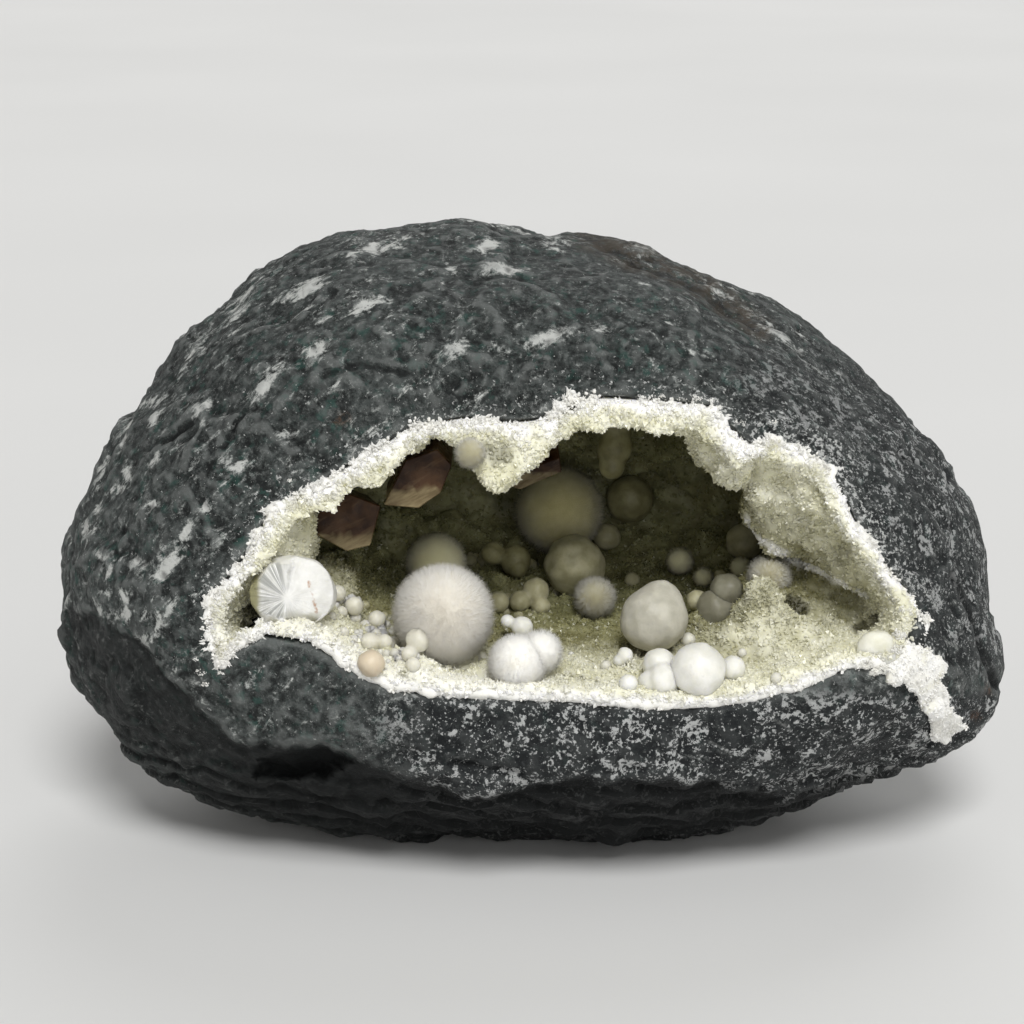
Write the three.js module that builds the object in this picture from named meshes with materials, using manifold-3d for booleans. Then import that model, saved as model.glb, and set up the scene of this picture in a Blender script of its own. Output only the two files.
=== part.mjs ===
// Okenite specimen: a hollow basalt boulder whose mouth shows a druse crust with okenite puffballs,
// waxy balls, a cleaved ball, a stalactite and calcite blades. Millimetres, +Z up, mouth towards -Y.
//
// The boulder lies on a flat patch of its underside and its mouth looks up a little, so everything is
// laid out in a mouth frame: x to the right, y into the rock, z up along the mouth, centre in the middle
// of the boulder. The group "specimen" tilts that frame into the world.
//
// Outlines and balls are given as bearings: the (x, z) at which an eye straight in front of the mouth
// sees them on the plane y = 0. sight() turns a bearing and a depth into a place.

import * as THREE from 'three';
import { mergeVertices } from 'three/addons/utils/BufferGeometryUtils.js';
import { ConvexGeometry } from 'three/addons/geometries/ConvexGeometry.js';
import Module from 'manifold-3d';

const wasm = await Module();
wasm.setup();

// ---- Driving dimensions ----

const TILT = THREE.MathUtils.degToRad(15); // the mouth looks up by this much
const CENTRE_HEIGHT = 53.7; // of the mouth frame's centre over the floor
const EYE = new THREE.Vector3(-3.4, -540, 3.9);
const GAP = 0.3; // between neighbouring pieces

const FRONT = 53; // how far the boulder reaches forwards and back of the centre
const BACK = 60;
const FULLNESS = 2.4; // 2 is an ellipsoid, more is boxier
const ROCK_DETAIL = 9;
const EDGE_SOFTNESS = 11; // mm over which one broken face turns into the next

// The boulder's outline as the eye sees it, anticlockwise from the right end.
const OUTLINE = [
  [85.5, -8], [84, 2.5], [75.5, 14], [69.5, 24.5], [62, 33], [46.5, 44], [32, 51], [17, 56],
  [2, 57], [-13, 58.5], [-36, 55], [-50, 49.5], [-58, 43.5], [-66, 36.5], [-72.5, 25], [-80, 14],
  [-88, 0.5], [-91.5, -11], [-90, -22], [-82, -34], [-74, -45], [-63, -51], [-38, -57],
  [6, -61], [34, -59], [46, -52.5], [72, -46], [85.5, -43], [89.5, -34], [90, -27], [86, -16.5],
];

// Broken faces of the boulder: the way each looks, and how far it lies from the centre.
const BROKEN_FACES = [
  { looks: [0, -1, 0.07], at: 44 }, // round the mouth
  { looks: [0, -0.32, -0.95], at: 59.7 }, // undercut below the brow
  { looks: [0, -0.55, 0.83], at: 54 }, // above the mouth
  { looks: [0.5, -0.48, 0.72], at: 59 }, // smooth right shoulder
  { looks: [-0.62, -0.5, 0.6], at: 68 }, // left shoulder
  { looks: [-0.85, -0.5, -0.1], at: 82 }, // left end
  { looks: [0.84, -0.54, 0.1], at: 82.5 }, // right end
  { looks: [-0.4, -0.55, -0.73], at: 70 }, // under the left brow
  { looks: [0.45, -0.5, -0.74], at: 73 }, // under the right brow
  { looks: [0, 0.87, 0.5], at: 56 },
  { looks: [-0.5, 0.86, -0.1], at: 62 },
  { looks: [0.55, 0.83, 0.1], at: 64 },
  { looks: [0.1, 0.86, -0.5], at: 56 },
  { looks: [-0.8, 0.5, 0.33], at: 80 },
  { looks: [0.75, 0.55, 0.35], at: 70 },
  { looks: [-0.4, 0.6, -0.7], at: 60 },
  { looks: [0.45, 0.6, -0.66], at: 61 },
];

// A slab has come off the top right: its edge runs between these bearings, and right of it the rock
// is lower.
const SPALL = { from: [6, 56], to: [43, 36], depth: 1.8, reach: 14 };

// The mouth's outline, anticlockwise from its right tip.
const MOUTH = [
  [74.4, -16.1], [69.7, -10.8], [65.9, -4.2], [60.3, 3.3], [58, 8], [56, 13.3], [49.9, 15.9],
  [45.2, 18.6], [42.4, 16.9], [38.6, 16.9], [36, 20.5], [34, 23.3], [20.7, 24.6], [6, 24.4],
  [1.9, 17.6], [-2.5, 20.2], [-8, 21.2], [-15, 21.2], [-22.6, 19.6], [-27.3, 16.5], [-33.9, 12.7],
  [-39.5, 8.4], [-45, 7.8], [-49.9, 2.4], [-55.5, -7.1], [-61, -14.2], [-59, -24.4], [-52.7, -20.4],
  [-46, -17.8], [-37.7, -23.1], [-24.5, -29.7], [5.6, -31.6], [32, -33], [49, -29.7], [60.3, -25.6],
  [69, -25.4], [73.2, -21.7],
];
const MOUTH_MIDDLE = 5; // x about which the hollow narrows
const MOUTH_LOW = -33;
const MOUTH_HIGH = 24.6;
const MOUTH_HALF = 67; // half its width

// The hollow, from in front of the rock to its back wall: depth, how much of the mouth's width is left,
// and the bearings of its floor and roof.
const HOLLOW = [
  { y: -80, width: 1, floor: -33, roof: 24.6 },
  { y: -43, width: 1, floor: -33, roof: 24.6 },
  { y: -24, width: 0.965, floor: -27, roof: 28 },
  { y: -4, width: 0.87, floor: -20, roof: 28.5 },
  { y: 12, width: 0.74, floor: -13, roof: 25 },
  { y: 25, width: 0.54, floor: -6, roof: 18.5 },
  { y: 34, width: 0.22, floor: 0.5, roof: 10.5 },
];

const CRUST_AT_RIM = 2.4; // thickness of the druse crust
const CRUST_INSIDE = 4.2;
const RIM_PROUD = 0.8; // how far its broken rim stands out of the rock
const RIM_DEPTH = -45.5;
const CRUST_SEGMENTS = 64;
const CRUST_RINGS = 16;
const WALL_SEGMENTS = 32;
const CRYSTAL_LOW = 1.0; // heights of its crystals
const CRYSTAL_HIGH = 2.4;
const FLOOR_CRYSTALS = 0.55; // those of the floor are this much shorter

// Lumps of the crust: bearing, depth, radius and height.
const LUMPS = [
  { x: 43, z: -22, y: -17, radius: 18, height: 9 }, // mound at the right
  { x: 30, z: -26, y: -22, radius: 9, height: 3.5 },
  { x: -4.5, z: 21, y: -42, radius: 10, height: 11 }, // hangs from the rim
  { x: 39, z: 18, y: -30, radius: 12, height: 6 }, // the right wall slopes in from the rim to a ledge
  { x: 48, z: 17, y: -26, radius: 16, height: 10 },
  { x: 56, z: 11, y: -22, radius: 17, height: 13 },
  { x: 61, z: 1, y: -22, radius: 14, height: 7 },
  { x: 67, z: -8, y: -26, radius: 12, height: 4.5 },
  { x: 71, z: -13, y: -30, radius: 9, height: 3 },
  { x: 59, z: -5, y: -11, radius: 16, height: 12 }, // the same wall under its ledge
  { x: -53, z: 1, y: -30, radius: 14, height: 9 }, // left wall, which slopes in from the rim
  { x: 10, z: 24, y: -44, radius: 12, height: 2.6 }, // lip of the roof
  { x: 26, z: 24, y: -44, radius: 12, height: 2.6 },
  { x: -38, z: -9, y: -20, radius: 9, height: 5 }, // stalks at the left
  { x: -6, z: -14, y: 4, radius: 7, height: 5 },
  { x: -24, z: 2, y: 16, radius: 10, height: 4 }, // back wall
  { x: 19, z: -29, y: -36, radius: 5, height: 2 },
  { x: -22.5, z: -27, y: -40, radius: 7, height: 4 }, // heap at the lip, left of the large puffball
  { x: -31, z: 14.5, y: -44, radius: 9, height: 3.4 }, // thick rim at the upper left
  { x: -42, z: 8, y: -44, radius: 8, height: 3.4 },
  { x: -52, z: -1, y: -44, radius: 8, height: 2.6 },
  { x: 41, z: 17, y: -44, radius: 8, height: 2.2 },
];

const WAXY = { colour: 0xe4e4d8, roughness: 0.45 };
const FUZZ = { colour: 0xe1dcd2, roughness: 0.9 };
const FUZZ_LENGTH = 0.12; // of the puffball's radius

// Balls: each is one piece of one or more grown-together lobes [x, z, radius, depth behind the first].
// "from" is the depth at which it starts on its way in to the crust.
const BALLS = [
  { name: 'puffball_large', fuzzy: true, from: -36, lobes: [[-16.4, -15.5, 9.4, 0]] },
  {
    name: 'puffball_front_pair', fuzzy: true, from: -41,
    lobes: [[-2.4, -24.6, 5.5, 0], [1.9, -22.5, 4, 1]],
  },
  { name: 'puffball_behind', fuzzy: true, from: -8, lobes: [[-17.7, -5.7, 5.6, 0]] },
  { name: 'puffball_back', fuzzy: true, from: 2, lobes: [[5.5, 4.2, 8.3, 0]] },
  { name: 'puffball_middle', fuzzy: true, from: -20, lobes: [[12.2, -12.3, 3.8, 0]] },
  { name: 'puffball_right', fuzzy: true, from: -20, lobes: [[45, -8.4, 4, 0]] },
  { name: 'puffball_right_small', fuzzy: true, from: -12, lobes: [[28.2, -5.4, 2.5, 0]] },
  { name: 'puffball_right_tiny', fuzzy: true, from: -14, lobes: [[32.6, -8.4, 1.8, 0]] },
  { name: 'puffball_right_dim', fuzzy: true, from: -5, lobes: [[39.7, -6.5, 2, 0]] },
  { name: 'puffball_rim', fuzzy: true, from: -47, lobes: [[-11.3, 15.2, 3, 0]] },
  { name: 'ball_pear', from: -34, pear: true, lobes: [[23.3, -16.5, 6.4, 0], [24.5, -13, 4.2, 1]] },
  { name: 'ball_front_large', from: -42, lobes: [[31.6, -25.9, 5.3, 0]] },
  {
    name: 'ball_front_cluster', from: -42,
    lobes: [[25.2, -27.6, 3.2, 0], [22.6, -28.2, 2.4, 0.5], [24.3, -24.8, 3.2, 2.5]],
  },
  { name: 'ball_front_right', from: -40, lobes: [[38.2, -25.5, 2.4, 0]] },
  { name: 'ball_front_left', from: -44, lobes: [[18.5, -28.4, 1.8, 0]] },
  { name: 'ball_faceted', from: -14, lobes: [[8.3, -6.1, 5.8, 0]] },
  { name: 'ball_back_small', from: 0, lobes: [[14.5, -0.8, 2.6, 0]] },
  { name: 'ball_back_right', from: 5, lobes: [[18.8, 6.3, 4.5, 0]] },
  { name: 'ball_egg', from: -4, lobes: [[40.5, -1.6, 3.6, 0]] },
  { name: 'ball_right_lower', from: -16, lobes: [[35, -14.4, 3.8, 0]] },
  { name: 'ball_right_upper', from: -16, lobes: [[37.1, -11, 3.4, 0]] },
  { name: 'ball_right_small', from: -14, lobes: [[31.4, -12.7, 2, 0]] },
  {
    name: 'ball_middle_cluster', from: -32,
    lobes: [[1.1, -11, 2.6, 0], [2.1, -13.8, 1.8, -1.5], [-1.9, -12.9, 2.1, -1.2]],
  },
  { name: 'ball_beside_puffball', from: -34, lobes: [[-6, -13.1, 2.1, 0]] },
  {
    name: 'ball_below_cluster', from: -32,
    lobes: [[-1.5, -17.8, 2.1, 0], [-4.3, -16.7, 1.4, 0.5]],
  },
  {
    name: 'ball_back_cluster', from: 0,
    lobes: [[-2.8, -5.2, 3, 0], [-7, -3.9, 2.3, -0.5], [-2.3, -6.7, 1.9, -1.5]],
  },
  { name: 'ball_left_row_a', from: -34, lobes: [[-36.2, -11.4, 1.6, 0]] },
  { name: 'ball_left_row_b', from: -34, lobes: [[-33.1, -13.8, 1.8, 0]] },
  { name: 'ball_left_row_c', from: -34, lobes: [[-28.8, -16.3, 1.7, 0]] },
  {
    name: 'ball_left_cluster', from: -43,
    lobes: [[-21.1, -20.2, 2.4, 0], [-22.8, -22.9, 1.6, -1]],
  },
  {
    name: 'ball_left_pair', from: -38,
    lobes: [[-30.1, -20.6, 1.9, 0], [-27.4, -20.6, 1.6, 0]],
  },
  { name: 'ball_peach', from: -46, lobes: [[-29.9, -24.6, 2.6, 0]] },
  { name: 'ball_lip', from: -42, lobes: [[17.9, -23.1, 1.6, 0], [16.8, -24, 1.2, 0]] },
];

const CLEAVED = { x: -44.6, z: -11.4, radius: 6.6, from: -40, hub: [-1.5, -1], ridges: 7 };
const HALF_BALL = { x: 65.7, z: -22.5, radius: 3.8, flatness: 0.62, from: -42 };
const STALACTITE = [[16, 20.5, 4], [15.8, 15.5, 3.5]]; // bearing and radius, top first
const STALACTITE_DEPTH = 6;

// Calcite blades: the bearings of the front outline, its depth, and how far and where the back lies.
const BLADES = [
  {
    name: 'calcite_blade_left',
    outline: [[-41.4, 0.3], [-38.2, 6.7], [-33.9, 7.2], [-28.1, 5], [-30.1, -2.4], [-34.5, -3.5]],
    depth: -30, back: [-3, 14, 2],
  },
  {
    name: 'calcite_blade_roof',
    outline: [[-27.5, 5.2], [-23.5, 13.6], [-17.5, 15.7], [-14.7, 12.7], [-16.9, 7.4], [-21, 4.6]],
    depth: -34, back: [0, 13, 4],
  },
  {
    name: 'calcite_blade_sliver',
    outline: [[-4.7, 9], [-1, 11.8], [5.6, 14.2], [6, 11.4], [-1.9, 8]],
    depth: -10, back: [-1, 8, 8],
  },
];

// ---- Helpers ----

function sight(x, z, y) {
  const reach = 1 + y / -EYE.y;
  return new THREE.Vector3(EYE.x + (x - EYE.x) * reach, y, EYE.z + (z - EYE.z) * reach);
}

function hash(a, b, c) {
  const wave = Math.sin(a * 127.1 + b * 311.7 + c * 74.7) * 43758.5453;
  return wave - Math.floor(wave);
}

function smooth(t) {
  const inside = THREE.MathUtils.clamp(t, 0, 1);
  return inside * inside * (3 - 2 * inside);
}

// Smooth noise between -1 and 1, from random values on a grid of the given size.
function noise(p, size) {
  const x = p.x / size;
  const y = p.y / size;
  const z = p.z / size;
  const floorX = Math.floor(x);
  const floorY = Math.floor(y);
  const floorZ = Math.floor(z);
  let sum = 0;
  for (let corner = 0; corner < 8; corner++) {
    const i = corner & 1;
    const j = (corner >> 1) & 1;
    const k = corner >> 2;
    const weight = smooth(1 - Math.abs(x - floorX - i))
      * smooth(1 - Math.abs(y - floorY - j))
      * smooth(1 - Math.abs(z - floorZ - k));
    sum += weight * hash(floorX + i, floorY + j, floorZ + k);
  }
  return sum * 2 - 1;
}

function welded(geometry) {
  const bare = geometry.clone();
  bare.deleteAttribute('normal');
  bare.deleteAttribute('uv');
  return mergeVertices(bare, 1e-4);
}

function moveVertices(geometry, move) {
  const place = geometry.attributes.position;
  const p = new THREE.Vector3();
  for (let i = 0; i < place.count; i++) {
    p.fromBufferAttribute(place, i);
    move(p, i);
    place.setXYZ(i, p.x, p.y, p.z);
  }
  return geometry;
}

function toSolid(geometry) {
  return new wasm.Manifold(new wasm.Mesh({
    numProp: 3,
    vertProperties: new Float32Array(geometry.attributes.position.array),
    triVerts: new Uint32Array(geometry.index.array),
  }));
}

function toGeometry(solid) {
  const mesh = solid.getMesh();
  const geometry = new THREE.BufferGeometry();
  geometry.setAttribute('position', new THREE.BufferAttribute(mesh.vertProperties, 3));
  geometry.setIndex(new THREE.BufferAttribute(mesh.triVerts, 1));
  return geometry;
}

// ---- Boulder ----

// The outline's distance from the centre along a direction in the plane y = 0.
const outlineCurve = new THREE.CatmullRomCurve3(
  OUTLINE.map(([x, z]) => new THREE.Vector3(x, 0, z)), true, 'centripetal');
const outlineSamples = outlineCurve.getPoints(400)
  .map((p) => ({ angle: Math.atan2(p.z, p.x), distance: Math.hypot(p.x, p.z) }))
  .sort((a, b) => a.angle - b.angle);

function outlineDistance(angle) {
  const last = outlineSamples.length - 1;
  let after = outlineSamples.findIndex((sample) => sample.angle >= angle);
  if (after < 1) after = after < 0 ? last : 1;
  const a = outlineSamples[after - 1];
  const b = outlineSamples[after];
  const t = THREE.MathUtils.clamp((angle - a.angle) / (b.angle - a.angle || 1), 0, 1);
  return THREE.MathUtils.lerp(a.distance, b.distance, t);
}

// How far the spalled slab has lowered the surface at a place.
function spallDepth(p) {
  const alongX = SPALL.to[0] - SPALL.from[0];
  const alongZ = SPALL.to[1] - SPALL.from[1];
  const length = Math.hypot(alongX, alongZ);
  const fromX = p.x - SPALL.from[0];
  const fromZ = p.z - SPALL.from[1];
  const along = (fromX * alongX + fromZ * alongZ) / length;
  const right = (fromZ * alongX - fromX * alongZ) / length;
  if (along < -8 || along > length) return 0;
  const slab = smooth(right / 1.5 + 1) * (1 - smooth((right - 2) / SPALL.reach));
  return SPALL.depth * slab * smooth((2 - p.y) / 14);
}

// The smaller of two distances, rounded off where they are nearly equal.
function softMinimum(a, b) {
  const closeness = Math.max(EDGE_SOFTNESS - Math.abs(a - b), 0) / EDGE_SOFTNESS;
  return Math.min(a, b) - closeness * closeness * EDGE_SOFTNESS / 4;
}

function boulderSurface(direction, grow) {
  const across = Math.hypot(direction.x, direction.z);
  const outline = outlineDistance(Math.atan2(direction.z, direction.x));
  const depth = direction.y < 0 ? FRONT : BACK;
  const round = Math.pow(
    Math.pow(across / outline, FULLNESS) + Math.pow(Math.abs(direction.y) / depth, FULLNESS),
    -1 / FULLNESS);
  let distance = round;
  for (const face of BROKEN_FACES) {
    const facing = new THREE.Vector3(...face.looks).normalize().dot(direction);
    if (facing > 0.05) distance = softMinimum(distance, face.at / facing);
  }
  const p = direction.clone().multiplyScalar(distance);
  const relief = 1.1 * noise(p, 26) + 0.9 * noise(p, 11) - spallDepth(p);
  return p.setLength(p.length() + relief + grow);
}

function boulderBody(grow) {
  const ball = welded(new THREE.IcosahedronGeometry(1, ROCK_DETAIL));
  moveVertices(ball, (p) => p.copy(boulderSurface(p.clone().normalize(), grow)));
  return toSolid(ball);
}

// Everything under the flat patch that the boulder rests on.
function groundBelow() {
  const depth = 60;
  const ground = welded(new THREE.BoxGeometry(400, 400, depth));
  ground.translate(0, 0, -CENTRE_HEIGHT - depth / 2);
  ground.rotateX(TILT);
  return toSolid(ground);
}

// ---- Hollow and crust ----

function hollowAt(y) {
  const last = HOLLOW.length - 1;
  let after = HOLLOW.findIndex((station) => station.y >= y);
  if (after < 1) after = after < 0 ? last : 1;
  const a = HOLLOW[after - 1];
  const b = HOLLOW[after];
  const t = THREE.MathUtils.clamp((y - a.y) / (b.y - a.y), 0, 1);
  return {
    width: THREE.MathUtils.lerp(a.width, b.width, t),
    floor: THREE.MathUtils.lerp(a.floor, b.floor, t),
    roof: THREE.MathUtils.lerp(a.roof, b.roof, t),
  };
}

// A point of the hollow's wall: the mouth's outline carried to depth y, moved in by inset.
function wallPoint(rimPoint, y, inset) {
  const here = hollowAt(y);
  const height = (rimPoint.z - MOUTH_LOW) / (MOUTH_HIGH - MOUTH_LOW);
  const width = Math.max(here.width - inset / MOUTH_HALF, 0.04);
  const x = MOUTH_MIDDLE + (rimPoint.x - MOUTH_MIDDLE) * width;
  const room = Math.max(here.roof - here.floor - 2 * inset, 1);
  const middle = (here.roof + here.floor) / 2;
  return sight(x, middle + (height - 0.5) * room, y);
}

const mouthCurve = new THREE.CatmullRomCurve3(
  MOUTH.map(([x, z]) => new THREE.Vector3(x, 0, z)), true, 'centripetal');

// A closed solid that fills the hollow, in rings at the given depths, from in front of the rock to the
// back wall. inset(y) says how far each ring lies inside the rock's wall.
function hollowGeometry(segments, depths, inset) {
  const outline = mouthCurve.getSpacedPoints(segments).slice(0, segments);
  const points = [];
  for (const y of depths) {
    for (const rimPoint of outline) points.push(wallPoint(rimPoint, y, inset(y)));
  }
  const faces = [];
  for (let ring = 0; ring < depths.length - 1; ring++) {
    for (let i = 0; i < segments; i++) {
      const a = ring * segments + i;
      const b = ring * segments + (i + 1) % segments;
      faces.push(a, a + segments, b, b, a + segments, b + segments);
    }
  }
  const flat = outline.map((p) => new THREE.Vector2(p.x, p.z));
  const last = (depths.length - 1) * segments;
  for (const [a, b, c] of THREE.ShapeUtils.triangulateShape(flat, [])) {
    faces.push(a, b, c);
    faces.push(last + a, last + c, last + b);
  }
  const geometry = new THREE.BufferGeometry().setFromPoints(points);
  geometry.setIndex(faces);
  geometry.computeVertexNormals();
  return geometry;
}

function lumpHeight(p) {
  let height = 0;
  for (const lump of LUMPS) {
    const distance = p.distanceTo(sight(lump.x, lump.z, lump.y));
    height = Math.max(height, lump.height * (1 - smooth(1.4 * distance / lump.radius - 0.4)));
  }
  return height;
}

// The free air inside the crust, less a clearance. Every second point of every second ring is pushed in,
// so the crust bristles with six-sided pyramids.
function crustAir(clearance) {
  const inset = (y) => THREE.MathUtils.lerp(
    CRUST_AT_RIM, CRUST_INSIDE, smooth((y - RIM_DEPTH) / 14));
  const back = HOLLOW[HOLLOW.length - 1].y - CRUST_INSIDE;
  const depths = [HOLLOW[0].y];
  for (let ring = 0; ring < CRUST_RINGS; ring++) {
    const t = ring / (CRUST_RINGS - 1);
    depths.push(THREE.MathUtils.lerp(RIM_DEPTH, back, 1 - Math.pow(1 - t, 1.15)));
  }
  const geometry = hollowGeometry(CRUST_SEGMENTS, depths, inset);
  const normals = geometry.attributes.normal.clone();
  const normal = new THREE.Vector3();
  return moveVertices(geometry, (p, i) => {
    const ring = Math.floor(i / CRUST_SEGMENTS) - 1;
    const column = i % CRUST_SEGMENTS;
    if (ring < 0) return;
    normal.fromBufferAttribute(normals, i);
    const luck = hash(ring, column, 5);
    const peak = ring % 2 === 0 && column % 2 === 0;
    const tall = normal.z < -0.5 ? FLOOR_CRYSTALS : 1;
    const peakHeight = tall * THREE.MathUtils.lerp(CRYSTAL_LOW, CRYSTAL_HIGH, luck);
    const crystal = peak ? peakHeight : 0.4 * luck;
    const room = ring > CRUST_RINGS - 3 ? 0.3 : 1;
    p.addScaledVector(normal, -(crystal + lumpHeight(p)) * room - clearance);
    p.x += 0.7 * (hash(column, ring, 1) - 0.5);
    p.z += 0.7 * (hash(column, ring, 2) - 0.5);
  });
}

// ---- Things that grow in the hollow ----

// Where a ball on the bearing (x, z) comes to rest on the crust: it moves in from the depth "from"
// until the crust's skin is closer to its middle than seat times its radius.
function restingDepth(skin, x, z, radius, from, seat) {
  const nearest = new THREE.Vector3();
  for (let y = from; y < 34; y += 0.25) {
    const middle = sight(x, z, y);
    for (const triangle of skin) {
      if (triangle.box.distanceToPoint(middle) > seat * radius) continue;
      triangle.closestPointToPoint(middle, nearest);
      if (nearest.distanceTo(middle) < seat * radius) return y;
    }
  }
  return from;
}

function skinOf(geometry) {
  const place = geometry.attributes.position;
  const index = geometry.index.array;
  const skin = [];
  for (let i = 0; i < index.length; i += 3) {
    const corners = [0, 1, 2].map((k) => new THREE.Vector3().fromBufferAttribute(place, index[i + k]));
    const triangle = new THREE.Triangle(...corners);
    triangle.box = new THREE.Box3().setFromPoints(corners);
    skin.push(triangle);
  }
  return skin;
}

// A faceted ball, with more faces the larger it is.
function roundGeometry(radius) {
  if (radius > 8.6) return welded(new THREE.IcosahedronGeometry(radius, 2));
  if (radius > 2.9) return welded(new THREE.IcosahedronGeometry(radius, 1));
  return welded(new THREE.DodecahedronGeometry(radius));
}

// One lobe. A fuzzy one bristles: some of its points stand out as far as its fibres reach.
function lobeGeometry(radius, fuzzy, grow) {
  return moveVertices(roundGeometry(radius), (p, i) => {
    const spine = i % 3 === 0 ? 1 : 0.35 * hash(i, radius, 3);
    const length = fuzzy ? p.length() * (1 + FUZZ_LENGTH * spine) : p.length();
    p.setLength(length + grow);
  });
}

function joined(geometries) {
  return geometries.map(toSolid).reduce((all, solid) => all.add(solid));
}

function ballSolid(ball, depth, grow) {
  const lobes = ball.lobes.map(([x, z, radius, behind]) => {
    const middle = sight(x, z, depth + behind);
    const real = radius * (1 + middle.y / -EYE.y);
    return lobeGeometry(real, ball.fuzzy, grow).translate(middle.x, middle.y, middle.z);
  });
  return ball.pear ? toSolid(hullOf(lobes)) : joined(lobes);
}

function hullOf(geometries) {
  const points = geometries.flatMap((geometry) => {
    const place = geometry.attributes.position;
    const corner = (_, i) => new THREE.Vector3().fromBufferAttribute(place, i);
    return Array.from({ length: place.count }, corner);
  });
  return welded(new ConvexGeometry(points));
}

// A ball split through the middle: the front is a nearly flat face with fibres radiating from a hub.
function cleavedSolid(depth, grow) {
  const middle = sight(CLEAVED.x, CLEAVED.z, depth);
  const ball = welded(new THREE.IcosahedronGeometry(CLEAVED.radius, 2));
  moveVertices(ball, (p) => {
    p.x *= 1.12;
    const angle = Math.atan2(p.z - CLEAVED.hub[1], p.x - CLEAVED.hub[0]);
    const spread = Math.hypot(p.x - CLEAVED.hub[0], p.z - CLEAVED.hub[1]) / CLEAVED.radius;
    const face = -2.4 + 0.35 * spread * Math.sin(angle * CLEAVED.ridges) + 0.9 * spread;
    p.y = Math.max(p.y, face);
    p.setLength(p.length() + grow);
  });
  return toSolid(ball.translate(middle.x, middle.y, middle.z));
}

// A ball broken at the rim: only a low dome is left of it.
function halfBallSolid(depth, grow) {
  const middle = sight(HALF_BALL.x, HALF_BALL.z, depth);
  const ball = lobeGeometry(HALF_BALL.radius, false, grow);
  moveVertices(ball, (p) => {
    p.y *= HALF_BALL.flatness;
  });
  return toSolid(ball.translate(middle.x, middle.y, middle.z));
}

function stalactiteSolid(grow) {
  return joined(STALACTITE.map(([x, z, radius]) => {
    const middle = sight(x, z, STALACTITE_DEPTH);
    return lobeGeometry(radius, false, grow).translate(middle.x, middle.y, middle.z);
  }));
}

function bladeSolid(blade, grow) {
  const front = blade.outline.map(([x, z]) => sight(x, z, blade.depth));
  const back = front.map((p) => p.clone().add(new THREE.Vector3(...blade.back)));
  const points = [...front, ...back];
  const middle = new THREE.Vector3();
  for (const p of points) middle.addScaledVector(p, 1 / points.length);
  for (const p of points) p.addScaledVector(p.clone().sub(middle).normalize(), grow * 1.6);
  return toSolid(welded(new ConvexGeometry(points)));
}

// ---- Assembly ----

const specimen = new THREE.Group();
specimen.rotation.x = -TILT;

function addPiece(name, solid, finish) {
  const material = new THREE.MeshStandardMaterial({
    color: finish.colour, roughness: finish.roughness, metalness: 0, flatShading: true,
  });
  const mesh = new THREE.Mesh(toGeometry(solid), material);
  mesh.name = name;
  specimen.add(mesh);
}

const wallDepths = HOLLOW.map((station) => station.y);
const wall = (inset) => toSolid(hollowGeometry(WALL_SEGMENTS, wallDepths, () => inset));
const ground = groundBelow();
const air = crustAir(0);
const skin = skinOf(air);

const pieces = BALLS.map((ball) => {
  const [x, z, radius] = ball.lobes[0];
  const depth = restingDepth(skin, x, z, radius, ball.from, ball.fuzzy ? 0.95 : 0.88);
  return {
    name: ball.name,
    finish: ball.fuzzy ? FUZZ : WAXY,
    make: (grow) => ballSolid(ball, depth, grow),
  };
});

const cleavedDepth = restingDepth(skin, CLEAVED.x, CLEAVED.z, CLEAVED.radius, CLEAVED.from, 0.7);
pieces.push({ name: 'ball_cleaved', finish: WAXY, make: (grow) => cleavedSolid(cleavedDepth, grow) });
const halfDepth = restingDepth(skin, HALF_BALL.x, HALF_BALL.z, HALF_BALL.radius, HALF_BALL.from, 0.7);
pieces.push({ name: 'ball_half', finish: WAXY, make: (grow) => halfBallSolid(halfDepth, grow) });
pieces.push({ name: 'stalactite', finish: WAXY, make: stalactiteSolid });
for (const blade of BLADES) {
  pieces.push({
    name: blade.name,
    finish: { colour: 0x6d5040, roughness: 0.35 },
    make: (grow) => bladeSolid(blade, grow),
  });
}

const crust = wall(GAP).subtract(toSolid(air)).intersect(boulderBody(RIM_PROUD));

const boulder = boulderBody(0).subtract(ground).subtract(wall(0));
addPiece('basalt_boulder', boulder, { colour: 0x474c4a, roughness: 0.85 });
addPiece('druse_crust', crust, { colour: 0xd9d6b4, roughness: 0.6 });
const room = toSolid(crustAir(GAP));
pieces.forEach((piece, order) => {
  let solid = piece.make(0).intersect(room);
  for (const earlier of pieces.slice(0, order)) solid = solid.subtract(earlier.make(GAP));
  addPiece(piece.name, solid, piece.finish);
});

// The origin is under the middle of the specimen's box, on the floor.
const group = new THREE.Group();
group.add(specimen);
specimen.position.z = CENTRE_HEIGHT;
group.updateMatrixWorld(true);
const box = new THREE.Box3().setFromObject(group, true);
specimen.position.x -= (box.min.x + box.max.x) / 2;
specimen.position.y -= (box.min.y + box.max.y) / 2;

export default group;
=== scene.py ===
"""Looks of a hollow basalt boulder lined with a crystal druse and holding okenite puffballs.

Everything is worked out in millimetres in the mouth frame of the CAD source (x right, y into the
rock, z up along the mouth) and turned into the row frame, in metres, when a mesh is made. Places are
given as bearings: the (x, z) at which the eye sees them on the plane y = 0 of the mouth frame. Image
places are given in pixels, right and down from the top left corner. Depth is the y of the mouth frame.
"""

import math
from contextlib import contextmanager
from functools import reduce

import bmesh
import bpy
import numpy as np
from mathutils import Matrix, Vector, noise
from mathutils.bvhtree import BVHTree
from mathutils.kdtree import KDTree


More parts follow.
